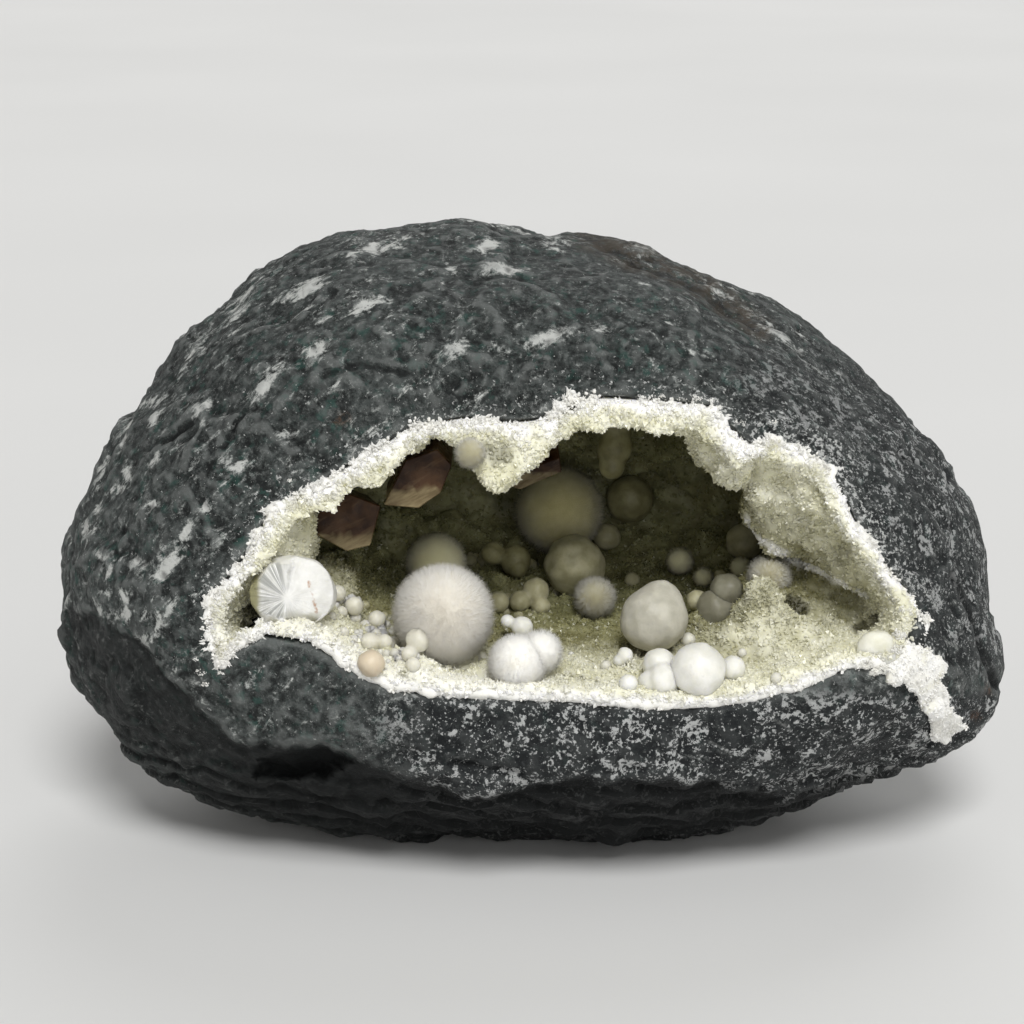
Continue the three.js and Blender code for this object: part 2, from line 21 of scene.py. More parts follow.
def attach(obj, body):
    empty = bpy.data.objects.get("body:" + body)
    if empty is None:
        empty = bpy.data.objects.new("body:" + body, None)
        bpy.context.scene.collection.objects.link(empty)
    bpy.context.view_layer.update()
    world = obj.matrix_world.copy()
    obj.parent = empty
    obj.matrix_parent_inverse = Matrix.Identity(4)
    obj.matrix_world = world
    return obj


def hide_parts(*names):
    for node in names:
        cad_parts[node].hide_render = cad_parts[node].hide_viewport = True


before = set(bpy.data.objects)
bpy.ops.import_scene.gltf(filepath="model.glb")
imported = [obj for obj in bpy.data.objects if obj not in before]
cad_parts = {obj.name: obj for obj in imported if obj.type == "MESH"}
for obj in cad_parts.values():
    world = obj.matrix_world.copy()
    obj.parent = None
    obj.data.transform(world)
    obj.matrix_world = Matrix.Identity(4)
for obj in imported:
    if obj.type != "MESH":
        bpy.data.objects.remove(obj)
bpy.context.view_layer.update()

MM = 0.001
TILT = math.radians(15)
SPECIMEN = np.array([0.5243, -2.6817, 53.7])  # the mouth frame's origin in the row frame
EYE = np.array([-3.4, -540.0, 3.9])  # in the mouth frame
PIXEL = 0.1883  # mm of bearing that one pixel of the image covers
CENTRE_PIXEL = (530.0, 532.5)  # where the bearing (0, 0) is seen
RANDOM = np.random.default_rng(7)

# The mouth's outline in bearings, anticlockwise from its right tip.
MOUTH = [
    (74.4, -16.1), (69.7, -10.8), (65.9, -4.2), (60.3, 3.3), (58, 8), (56, 13.3), (49.9, 15.9),
    (45.2, 18.6), (42.4, 16.9), (38.6, 16.9), (36, 20.5), (34, 23.3), (20.7, 24.6), (6, 24.4),
    (1.9, 17.6), (-2.5, 20.2), (-8, 21.2), (-15, 21.2), (-22.6, 19.6), (-27.3, 16.5), (-33.9, 12.7),
    (-39.5, 8.4), (-45, 7.8), (-49.9, 2.4), (-55.5, -7.1), (-61, -14.2), (-59, -24.4), (-52.7, -20.4),
    (-46, -17.8), (-37.7, -23.1), (-24.5, -29.7), (5.6, -31.6), (32, -33), (49, -29.7), (60.3, -25.6),
    (69, -25.4), (73.2, -21.7),
]

# Balls: node, depth and lobes (x, z, radius, depth behind the first), as in the CAD source.
SMOOTH_BALLS = [
    ("ball_pear", -27.75, [(23.3, -16.5, 6.4, 0), (24.5, -13, 4.2, 1)]),
    ("ball_front_large", -42, [(31.6, -25.9, 5.3, 0)]),
    ("ball_front_cluster", -42, [(25.2, -27.6, 3.2, 0), (22.6, -28.2, 2.4, 0.5), (24.3, -24.8, 3.2, 2.5)]),
    ("ball_front_right", -40, [(38.2, -25.5, 2.4, 0)]),
    ("ball_front_left", -44, [(18.5, -28.4, 1.8, 0)]),
    ("ball_faceted", 3.25, [(8.3, -6.1, 5.8, 0)]),
    ("ball_back_small", 21.75, [(14.5, -0.8, 2.6, 0)]),
    ("ball_back_right", 26, [(18.8, 6.3, 4.5, 0)]),
    ("ball_egg", 12.25, [(40.5, -1.6, 3.6, 0)]),
    ("ball_right_lower", -16, [(35, -14.4, 3.8, 0)]),
    ("ball_right_upper", -16, [(37.1, -11, 3.4, 0)]),
    ("ball_right_small", -14, [(31.4, -12.7, 2, 0)]),
    ("ball_middle_cluster", -4, [(1.1, -11, 2.6, 0), (2.1, -13.8, 1.8, -1.5), (-1.9, -12.9, 2.1, -1.2)]),
    ("ball_beside_puffball", -6.25, [(-6, -13.1, 2.1, 0)]),
    ("ball_below_cluster", -22.25, [(-1.5, -17.8, 2.1, 0), (-4.3, -16.7, 1.4, 0.5)]),
    ("ball_back_cluster", 10.75, [(-2.8, -5.2, 3, 0), (-7, -3.9, 2.3, -0.5), (-2.3, -6.7, 1.9, -1.5)]),
    ("ball_left_row_a", -28.5, [(-36.2, -11.4, 1.6, 0)]),
    ("ball_left_row_b", -28.5, [(-33.1, -13.8, 1.8, 0)]),
    ("ball_left_row_c", -27.75, [(-28.8, -16.3, 1.7, 0)]),
    ("ball_left_cluster", -41.75, [(-21.1, -20.2, 2.4, 0), (-22.8, -22.9, 1.6, -1)]),
    ("ball_left_pair", -38, [(-30.1, -20.6, 1.9, 0), (-27.4, -20.6, 1.6, 0)]),
    ("ball_peach", -46, [(-29.9, -24.6, 2.6, 0)]),
    ("ball_lip", -36, [(17.9, -23.1, 1.6, 0), (16.8, -24, 1.2, 0)]),
]
# Puffballs: the same, with the number of fibres and the painted shade: a lighter or darker copy of one
# material.
PUFFBALLS = [
    ("puffball_large", -36, [(-16.4, -15.5, 9.4, 0)], 24500, "soft"),
    ("puffball_front_pair", -41, [(-2.4, -24.6, 5.5, 0), (1.9, -22.5, 4, 1)], 16000, "bright"),
    ("puffball_behind", 0, [(-17.7, -5.7, 5.6, 0)], 8500, "cream"),
    ("puffball_back", 18.25, [(5.5, 4.2, 8.3, 0)], 10500, "dark"),
    ("puffball_middle", -7, [(12.2, -12.3, 3.8, 0)], 5000, "dim"),
    ("puffball_right", -20, [(45, -8.4, 4, 0)], 5500, "dim"),
    ("puffball_right_small", 12, [(28.2, -5.4, 2.5, 0)], 2200, "cream"),
    ("puffball_right_tiny", 6, [(32.6, -8.4, 1.8, 0)], 1500, "cream"),
    ("puffball_right_dim", 5, [(39.7, -6.5, 2, 0)], 1500, "cream"),
    ("puffball_rim", -45.8, [(-11.3, 15.0, 2.8, 0)], 2600, "dim"),
]
FUZZ_LENGTH = 0.15  # of the radius
SMALL_FUZZ_LENGTH = 0.26  # the same for the small puffballs
LARGE_PUFFBALL = 4.5  # mm of radius above which the fuzz is short
FIBRE_WIDTH, SMALL_FIBRE_WIDTH = 0.075, 0.06

# Pearls too small for a solid of their own: image place and radius in pixels.
PEARLS = [
    (553, 592, 6), (471, 560, 6), (481, 657, 6), (530, 566, 8), (393, 632, 6), (388, 645, 7),
    (413, 665, 8), (571, 654, 3), (604, 645, 3), (606, 666, 6), (632, 580, 8), (742, 653, 5),
    (776, 678, 6), (720, 575, 6), (688, 640, 8), (365, 605, 5), (371, 630, 5), (398, 645, 5),
    (387, 654, 5), (346, 600, 4), (402, 630, 5),
]
# Fields of the smallest pearls: image place, half width and half height, how many.
PEARL_FIELDS = [
    (382, 634, 34, 24, 46), (346, 602, 16, 12, 12), (404, 652, 16, 12, 12), (520, 606, 30, 18, 18),
    (470, 560, 40, 10, 6),
]
# Pale patches of the rock: image place, half length, half width (pixels), slope (degrees), strength.
PALE_PATCHES = [
    (305, 291, 24, 7, 30, 1), (366, 304, 18, 7, 25, 0.9), (374, 247, 30, 7, 15, 0.9),
    (485, 245, 17, 6, 10, 0.9), (502, 269, 24, 5, 0, 1), (450, 268, 9, 6, 60, 0.7),
    (548, 336, 26, 8, 20, 0.9), (600, 327, 13, 7, 0, 0.8), (455, 350, 13, 8, 45, 0.8),
    (497, 348, 16, 6, 0, 0.6), (316, 349, 16, 10, 35, 0.9), (262, 383, 26, 8, 45, 0.9),
    (152, 402, 18, 5, 30, 1), (157, 418, 10, 4, 75, 0.8), (197, 408, 12, 5, 40, 0.9),
    (204, 424, 6, 5, 60, 0.9), (220, 414, 7, 5, 80, 0.8), (182, 449, 8, 6, 60, 0.8),
    (125, 443, 8, 4, 70, 1), (129, 428, 9, 4, 70, 0.8), (99, 469, 8, 4, 60, 0.9),
    (126, 473, 12, 5, 85, 0.9), (119, 487, 9, 4, 45, 0.9), (156, 457, 10, 4, 40, 0.8),
    (153, 503, 5, 4, 0, 0.9), (88, 526, 12, 4, 85, 1), (98, 509, 7, 4, 80, 0.8),
    (70, 532, 11, 3, 95, 0.8), (107, 556, 10, 6, -45, 0.9), (111, 572, 11, 4, 80, 0.9),
    (135, 562, 9, 7, 60, 1), (160, 574, 12, 6, 45, 1), (169, 560, 9, 4, 50, 0.9),
    (183, 536, 15, 4, 55, 1), (206, 508, 9, 5, 30, 0.9), (222, 483, 13, 4, 55, 0.8),
    (287, 437, 14, 6, 15, 0.9), (240, 463, 14, 4, 35, 0.8), (101, 607, 9, 4, -70, 0.9),
    (125, 613, 10, 7, 20, 1), (125, 596, 7, 5, 60, 0.8), (157, 629, 16, 7, 70, 1),
    (143, 641, 12, 5, -40, 0.9), (172, 605, 11, 3, 55, 0.8), (68, 598, 6, 4, 60, 0.9),
    (59, 564, 6, 4, 60, 0.9), (58, 627, 9, 3, 95, 0.8), (66, 665, 7, 4, 45, 0.8),
    (245, 300, 40, 10, 45, 0.6), (200, 340, 34, 9, 50, 0.5), (405, 388, 18, 8, 20, 0.5),
    (690, 352, 20, 6, -35, 0.4), (770, 330, 40, 6, -38, 0.7), (720, 290, 36, 5, -32, 0.6),
    (560, 242, 26, 5, 0, 0.6), (640, 250, 30, 6, -20, 0.7), (680, 402, 10, 4, 0, 0.4),
]
# Rust on the rock: image place and radius in pixels.
RUST_SPOTS = [(345, 418, 5), (338, 421, 4), (989, 690, 5), (978, 717, 5)]
# Cracks of the rock: image places of their ends, half width in pixels and depth in mm.
CRACKS = [
    (222, 447, 241, 409, 2.6, 1.1), (163, 442, 189, 422, 3.4, 1.3), (325, 376, 358, 363, 4, 0.9),
    (358, 363, 408, 373, 3.4, 0.8), (901, 452, 921, 463, 3, 1.0), (955, 575, 978, 630, 5, 1.9),
    (978, 630, 998, 684, 5, 1.9), (580, 238, 640, 262, 4, 0.9), (640, 262, 700, 290, 4, 0.9),
    (700, 290, 752, 326, 4, 0.8), (430, 762, 520, 775, 4, 0.9), (640, 790, 740, 800, 4, 0.9),
]
# The brown weathered line over the right shoulder, in the image.
BROWN_LINE = [(580, 236), (650, 262), (705, 288), (760, 330)]
# The hollow under the left brow, recessed and darkened with painted shade: image place, half width, half
# height (pixels) and depth in mm.
UNDER_HOLLOW = (302, 764, 46, 17, 6.0)
# The line below which the rock's front is undercut and darkened with painted shade, in the image, and how
# far in mm.
UNDERCUT = [
    (50, 604), (66, 608), (100, 620), (130, 632), (148, 652), (165, 677), (195, 708), (225, 730),
    (261, 747), (340, 756), (390, 770), (424, 782), (470, 792), (530, 790), (572, 781), (640, 779),
    (700, 776), (760, 788), (830, 789), (900, 776), (960, 764), (1010, 745),
]
UNDERCUT_DEPTH = 1.3
# The undercut's painted shade grows darker over this stretch.
UNDERCUT_DARKENS = (180, 270)  # the stretch of the image, rightwards, over which it grows darker
# Regions of fresh speckled rock: strength, and the stretches of the image, rightwards and downwards,
# over which each begins.
FRESH_BAND = (1.0, (330, 450), (682, 706))
FRESH_RIGHT = (0.75, (830, 880), (350, 430))
FRESH_SHOULDER = (0.5, (700, 770), (330, 380))
FRESH_SIDES_ABOVE = (700, 640)  # the stretch, upwards, over which the right and the shoulder begin
# White flecks on the rock: image place, radius in pixels.
FLECKS = [
    (652, 399, 6), (682, 401, 7), (697, 397, 6), (740, 423, 6), (773, 421, 4), (840, 468, 3),
    (201, 672, 5), (205, 684, 4), (221, 673, 3), (668, 404, 3), (712, 400, 4), (720, 408, 4),
    (806, 447, 3), (290, 480, 3), (196, 660, 3), (640, 397, 4), (662, 396, 3),
]
# The white vein that runs off the mouth's right corner, as an image outline.
VEIN = [
    (892, 640), (918, 648), (934, 656), (945, 668), (934, 678), (939, 686), (946, 698), (944, 706),
    (956, 718), (962, 724), (972, 733), (974, 740), (960, 743), (948, 746), (934, 734), (931, 716),
    (922, 702), (919, 694), (914, 689), (904, 679), (899, 675), (896, 684), (889, 680), (884, 664),
]
# Rounded lumps of the crust: image place, radius and height in mm.
CRUST_BUMPS = [
    (385, 520, 3.2, 1.7), (405, 531, 2.8, 1.6), (419, 516, 2.6, 1.4), (396, 546, 2.6, 1.4),
    (432, 527, 2.4, 1.3), (375, 540, 2.6, 1.4), (455, 520, 2.6, 1.2), (470, 500, 3.0, 1.4),
    (690, 480, 3.4, 1.5), (715, 505, 3.2, 1.4), (668, 500, 3.0, 1.2), (700, 540, 3.0, 1.2),
    (735, 470, 3.6, 1.3), (765, 500, 3.6, 1.2), (790, 560, 3.4, 1.2), (845, 575, 3.0, 1.1),
    (810, 500, 3.2, 1.0), (600, 590, 2.4, 1.2), (520, 545, 2.4, 1.2), (660, 590, 2.6, 1.2),
    (761, 596, 3.0, 2.0), (771, 604, 2.8, 1.6), (780, 616, 2.6, 1.2), (757, 618, 2.6, 1.2),
    (800, 632, 2.6, 0.9), (730, 636, 2.4, 0.9),
]
# Nooks of the crust, dented and darkened with painted shade: image place, radius in mm, depth of the dent
# in mm, how dark the painted shade is.
NOOKS = [
    (791, 603, 2.2, 1.6, 0.9), (802, 610, 1.8, 1.4, 0.9), (862, 628, 2.0, 1.4, 0.9),
    (874, 620, 1.6, 1.2, 0.8), (700, 655, 1.6, 0.6, 0.4), (246, 626, 1.8, 1.0, 0.9),
    (499, 455, 2.4, 0.5, 0.55), (487, 447, 1.8, 0.3, 0.45), (538, 560, 2.0, 0.8, 0.7),
]
# Where the crust is cut back so that the balls in the mound's side show: image place, radius in
# pixels, and the depth in mm that it is cut back to.
CUT_BACKS = [(715, 606, 19, -16.5), (728, 590, 17, -16.5)]
# Tufts of longer crystals: image place, radius in pixels, how many.
TUFTS = [
    (392, 580, 15, 150), (488, 570, 15, 150), (655, 570, 12, 110), (765, 596, 16, 170),
    (600, 583, 10, 80), (740, 610, 18, 150), (790, 612, 16, 120), (350, 575, 14, 110),
    (545, 590, 9, 70), (700, 625, 14, 100), (830, 625, 14, 100), (350, 556, 10, 80),
]
# Rubble and lumps of cream or yellow grains on the floor: image place, radius in pixels.
RUBBLE = [(568, 677, 8), (582, 680, 6), (597, 684, 5), (630, 667, 8), (562, 683, 5), (404, 672, 5)]
# Heaps of white grains on the rim: image place, radius in pixels.
RIM_HEAPS = [(897, 650, 9), (884, 669, 8), (866, 664, 7), (899, 635, 7), (874, 672, 5)]
# The line along which the druse of the right wall is as white as its rim, in the image.
WHITE_LEDGE = [(748, 520), (756, 538), (775, 549), (805, 564), (835, 579), (864, 594)]


# ---- Places ----

def to_world(p):
    """Mouth frame to row frame, both in millimetres."""
    c, s = math.cos(TILT), math.sin(TILT)
    x, y, z = np.moveaxis(np.asarray(p, float), -1, 0)
    return np.stack([x, y * c + z * s, z * c - y * s], -1) + SPECIMEN


def to_mouth(p):
    """Row frame to mouth frame."""
    c, s = math.cos(TILT), math.sin(TILT)
    x, y, z = np.moveaxis(np.asarray(p, float) - SPECIMEN, -1, 0)
    return np.stack([x, y * c - z * s, z * c + y * s], -1)


def turn_to_world(v):
    """Mouth frame to row frame, for a direction."""
    return to_world(v) - SPECIMEN


INTO_ROCK = turn_to_world((0, 1, 0))


def sight(x, z, y):
    """The place in the mouth frame that lies on a bearing, at the depth y."""
    reach = 1 + y / -EYE[1]
    return np.array([EYE[0] + (x - EYE[0]) * reach, y, EYE[2] + (z - EYE[2]) * reach])


def bearing(p):
    """The bearings (N, 2) of places in the mouth frame."""
    reach = 1 + p[..., 1] / -EYE[1]
    return np.stack([EYE[0] + (p[..., 0] - EYE[0]) / reach, EYE[2] + (p[..., 2] - EYE[2]) / reach], -1)


def pixel_bearing(px, py):
    return (px - CENTRE_PIXEL[0]) * PIXEL, (CENTRE_PIXEL[1] - py) * PIXEL


def pixel_columns(p):
    """How far right and how far down in the image places (N, 3) in the mouth frame are seen."""
    seen = bearing(p)
    return CENTRE_PIXEL[0] + seen[..., 0] / PIXEL, CENTRE_PIXEL[1] - seen[..., 1] / PIXEL


def smoothstep(low, high, value):
    t = np.clip((value - low) / (high - low), 0, 1)
    return t * t * (3 - 2 * t)


def most(*values):
    """The largest of several arrays, point by point."""
    return reduce(np.maximum, values)


def unit_rows(v):
    return v / np.linalg.norm(v, axis=1, keepdims=True)


def noise_over(points, size, shift=(0, 0, 0)):
    """Smooth noise with lumps of the given size at each of the points."""
    return np.array([noise.noise(Vector(p) / size + Vector(shift)) for p in points])


def flat_noise(points, size, layer):
    """The same at points (N, 2) of a plane, in a layer of its own."""
    return np.array([noise.noise(Vector((x / size, z / size, layer))) for x, z in points])


def wrinkles(points, crumple, size, wave, wave_size):
    """The height of a crumpled surface at each of the points: fine crumples on long waves."""
    return np.array([
        crumple * noise.turbulence(Vector(p) / size, 3, True) + wave * noise.noise(Vector(p) / wave_size)
        for p in points])


def line_distance(points, a, b):
    """How far points (N, 2) lie from the stretch between a and b."""
    a, b = np.array(a, float), np.array(b, float)
    t = np.clip(((points - a) @ (b - a)) / ((b - a) @ (b - a)), 0, 1)
    return np.linalg.norm(points - a - t[:, None] * (b - a), axis=1)


def path_distance(points, path):
    return np.min([line_distance(points, a, b) for a, b in zip(path[:-1], path[1:])], axis=0)


CURVE_STEPS = 24  # on each stretch between two points


def closed_curve(points, count):
    """A closed Catmull-Rom curve through the points, evenly spaced."""
    p = np.array(points, float)
    fine = []
    for i in range(len(p)):
        a, b, c, d = p[i - 1], p[i], p[(i + 1) % len(p)], p[(i + 2) % len(p)]
        for t in np.linspace(0, 1, CURVE_STEPS, endpoint=False):
            fine.append(0.5 * (2 * b + (c - a) * t + (2 * a - 5 * b + 4 * c - d) * t ** 2
                               + (3 * b - a - 3 * c + d) * t ** 3))
    fine = np.array(fine + [fine[0]])
    run = np.concatenate([[0], np.cumsum(np.linalg.norm(np.diff(fine, axis=0), axis=1))])
    at = np.linspace(0, run[-1], count, endpoint=False)
    return np.stack([np.interp(at, run, fine[:, k]) for k in range(2)], -1)


def point_tree(points):
    tree = KDTree(len(points))
    for i, point in enumerate(points):
        tree.insert(Vector(point), i)
    tree.balance()
    return tree


# ---- Meshes ----

def object_from(name, verts_world_mm, faces, smooth=False):
    mesh = bpy.data.meshes.new(name)
    mesh.from_pydata((np.asarray(verts_world_mm) * MM).tolist(), [], np.asarray(faces).tolist())
    mesh.update()
    piece = bpy.data.objects.new(name, mesh)
    bpy.context.scene.collection.objects.link(piece)
    mesh.polygons.foreach_set("use_smooth", np.full(len(mesh.polygons), smooth))
    return piece


def shade_smooth(piece):
    piece.data.polygons.foreach_set("use_smooth", np.full(len(piece.data.polygons), True))


@contextmanager
def edited(piece):
    """The piece's mesh as a bmesh, written back at the end."""
    shape = bmesh.new()
    shape.from_mesh(piece.data)
    yield shape
    shape.to_mesh(piece.data)
    shape.free()


def copy_of_node(node, name):
    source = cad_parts[node]
    piece = bpy.data.objects.new(name, source.data.copy())
    piece.data.name = name
    piece.data.materials.clear()
    bpy.context.scene.collection.objects.link(piece)
    with edited(piece) as shape:
        bmesh.ops.remove_doubles(shape, verts=shape.verts, dist=1e-6)
    return piece


def crease_sharp_edges(piece, angle):
    with edited(piece) as shape:
        layers = shape.edges.layers.float
        layer = layers.get("crease_edge") or layers.new("crease_edge")
        for edge in shape.edges:
            if len(edge.link_faces) == 2 and edge.calc_face_angle(0) > angle:
                edge[layer] = 1


def apply_modifier(piece, kind, **settings):
    modifier = piece.modifiers.new(kind, kind)
    for key, value in settings.items():
        setattr(modifier, key, value)
    graph = bpy.context.evaluated_depsgraph_get()
    mesh = bpy.data.meshes.new_from_object(piece.evaluated_get(graph))
    old = piece.data
    piece.modifiers.clear()
    piece.data = mesh
    mesh.name = piece.name
    bpy.data.meshes.remove(old)


def remesh(piece, voxel, rounds):
    """One closed skin of cells of about the voxel's size (mm), smoothed for some rounds."""
    apply_modifier(piece, "REMESH", mode="VOXEL", voxel_size=voxel * MM)
    relax(piece, rounds)


def point_values(piece, key):
    values = np.zeros(len(piece.data.vertices) * 3)
    piece.data.vertices.foreach_get(key, values)
    return values.reshape(-1, 3)


def places(piece):
    """The mesh's points in millimetres of the row frame."""
    return point_values(piece, "co") / MM


def normals(piece):
    return point_values(piece, "normal")


def set_places(piece, co):
    piece.data.vertices.foreach_set("co", (co * MM).ravel())
    piece.data.update()


def relax(piece, rounds, weight=0.5):
    """Moves each point towards the mean of its neighbours, for some rounds."""
    co = places(piece)
    edges = np.zeros(len(piece.data.edges) * 2, int)
    piece.data.edges.foreach_get("vertices", edges)
    edges = edges.reshape(-1, 2)
    count = len(co)
    degree = np.maximum(np.bincount(edges.ravel(), minlength=count), 1)
    for _ in range(rounds):
        total = np.stack([
            np.bincount(edges[:, 0], co[edges[:, 1], k], count)
            + np.bincount(edges[:, 1], co[edges[:, 0], k], count) for k in range(3)], -1)
        co += weight * (total / degree[:, None] - co)
    set_places(piece, co)


def thin_out(piece, hidden, kept):
    """Leaves about the given share of the faces round the hidden points, which are never seen."""
    group = piece.vertex_groups.new(name="hidden")
    group.add(np.nonzero(hidden)[0].tolist(), 1.0, "REPLACE")
    apply_modifier(piece, "DECIMATE", ratio=1 - (1 - kept) * hidden.mean(), vertex_group="hidden",
                   vertex_group_factor=1000)
    piece.vertex_groups.clear()


def convexity(piece, rounds):
    """How far each point stands out of the mean of its neighbourhood, in millimetres."""
    before, out = places(piece), normals(piece)
    relax(piece, rounds, 1.0)
    after = places(piece)
    set_places(piece, before)
    return ((before - after) * out).sum(axis=1)


def tree_of(*pieces):
    """One BVH tree of several meshes, in millimetres of the row frame."""
    verts, faces = [], []
    for piece in pieces:
        first = len(verts)
        verts += places(piece).tolist()
        faces += [[first + v for v in face.vertices] for face in piece.data.polygons]
    return BVHTree.FromPolygons(verts, faces)


def attributes(piece, points_each=1, **values):
    """Values for the materials, one for each of the mesh's points or for each few of them."""
    for name, value in values.items():
        layer = piece.data.attributes.new(name, "FLOAT", "POINT")
        layer.data.foreach_set("value", np.repeat(np.asarray(value, np.float32), points_each))


def cast(tree, bx, bz):
    """Where the eye's ray on a bearing meets a mesh: place and normal in the row frame, or None."""
    eye = Vector(to_world(EYE))
    aim = Vector(to_world(sight(bx, bz, 0.0))) - eye
    place, normal, _, _ = tree.ray_cast(eye, aim.normalized())
    return (np.array(place), np.array(normal)) if place is not None else None


def cast_pixel(tree, px, py):
    return cast(tree, *pixel_bearing(px, py))


def spots(tree, rows):
    """Rows that start with an image place, with the place on the mesh instead, where there is one."""
    for px, py, *rest in rows:
        hit = cast_pixel(tree, px, py)
        if hit is not None:
            yield (hit[0], *rest)


def joined(parts):
    """The points and faces of several meshes as those of one."""
    firsts = np.cumsum([0] + [len(verts) for verts, _ in parts])
    faces = [part_faces + first for (_, part_faces), first in zip(parts, firsts)]
    return np.concatenate([verts for verts, _ in parts]), np.concatenate(faces)


def as_copies(verts, faces):
    """The same for copies of one shape: their points (N, K, 3) and the faces of the first."""
    first = np.arange(len(verts))[:, None, None] * verts.shape[1]
    return verts.reshape(-1, 3), (np.array(faces)[None] + first).reshape(-1, 3)


SPIKE_SIDES = 3
SPIKE_POINTS = SPIKE_SIDES + 1


def spikes(points, directions, widths, heights, sink=0.0):
    """Closed pyramids: points (N, 3), the way each looks, base width and height."""
    axis = unit_rows(directions)
    u = unit_rows(np.cross(axis, RANDOM.normal(size=axis.shape)))
    v = np.cross(axis, u)
    root = points - axis * (heights * sink)[:, None]
    verts = np.zeros((len(points), SPIKE_POINTS, 3))
    for k in range(SPIKE_SIDES):
        angle = 2 * math.pi * k / SPIKE_SIDES
        ring = math.cos(angle) * u + math.sin(angle) * v
        verts[:, k] = root + ring * (widths / 2)[:, None]
    verts[:, SPIKE_SIDES] = points + axis * heights[:, None]
    faces = [(k, (k + 1) % SPIKE_SIDES, SPIKE_SIDES) for k in range(SPIKE_SIDES)]
    faces += [(0, k + 1, k) for k in range(1, SPIKE_SIDES - 1)]
    return as_copies(verts, faces)


OCTAHEDRON = np.array([(1, 0, 0), (-1, 0, 0), (0, 1, 0), (0, -1, 0), (0, 0, 1), (0, 0, -1)], float)
OCTAHEDRON_FACES = np.array([
    (0, 2, 4), (2, 1, 4), (1, 3, 4), (3, 0, 4), (2, 0, 5), (1, 2, 5), (3, 1, 5), (0, 3, 5)])
GRAIN_POINTS = len(OCTAHEDRON)


def grains(points, sizes):
    """Small ragged octahedra."""
    q, _ = np.linalg.qr(RANDOM.normal(size=(len(points), 3, 3)))
    q[:, :, 0] *= np.sign(np.linalg.det(q))[:, None]
    shape = OCTAHEDRON[None] * RANDOM.uniform(0.65, 1.35, size=(len(points), GRAIN_POINTS, 1))
    verts = np.einsum("nij,nkj->nki", q, shape) * sizes[:, None, None] + points[:, None]
    return as_copies(verts, OCTAHEDRON_FACES)


def unit_ball(subdivisions):
    shape = bmesh.new()
    bmesh.ops.create_icosphere(shape, subdivisions=subdivisions, radius=1)
    verts = np.array([v.co[:] for v in shape.verts])
    faces = np.array([[v.index for v in f.verts] for f in shape.faces])
    shape.free()
    return verts, faces


UNIT = {n: unit_ball(n) for n in (1, 2, 3, 4, 5)}


def knobs(points, directions, radii, stretch, shape):
    """Small rounded nodules, each longer along the way it looks."""
    unit, faces = shape
    axis = unit_rows(directions)
    u = unit_rows(np.cross(axis, RANDOM.normal(size=axis.shape)))
    basis = np.stack([u, np.cross(axis, u), axis], axis=1)
    rough = RANDOM.uniform(0.75, 1.25, size=(len(points), len(unit), 1))
    local = unit[None] * rough * radii[:, None, None]
    local[:, :, 2] *= stretch[:, None]
    return as_copies(np.einsum("nvk,nkj->nvj", local, basis) + points[:, None], faces)


def sample_faces(piece, count, weight, value):
    """Random places on a mesh: places, face normals and the value there (row frame, mm)."""
    mesh = piece.data
    mesh.calc_loop_triangles()
    tri = np.zeros(len(mesh.loop_triangles) * 3, int)
    mesh.loop_triangles.foreach_get("vertices", tri)
    tri = tri.reshape(-1, 3)
    co = places(piece)
    a, b, c = co[tri[:, 0]], co[tri[:, 1]], co[tri[:, 2]]
    cross = np.cross(b - a, c - a)
    area = np.linalg.norm(cross, axis=1)
    chance = area * weight[tri].min(axis=1)
    pick = RANDOM.choice(len(tri), size=count, p=chance / chance.sum())
    u, v = RANDOM.random(count), RANDOM.random(count)
    over = u + v > 1
    u[over], v[over] = 1 - u[over], 1 - v[over]
    at = a[pick] + (b - a)[pick] * u[:, None] + (c - a)[pick] * v[:, None]
    return at, cross[pick] / area[pick][:, None], value[tri[pick]].mean(axis=1)


# ---- Materials ----

def feed(tree, port, value):
    """Links a socket to a node's input, or sets the input to a value."""
    if isinstance(value, bpy.types.NodeSocket):
        tree.links.new(value, port)
    else:
        port.default_value = value


def add_node(tree, kind, inputs=None, **settings):
    made = tree.nodes.new(kind)
    for key, value in settings.items():
        setattr(made, key, value)
    for key, value in (inputs or {}).items():
        feed(tree, made.inputs[key], value)
    return made


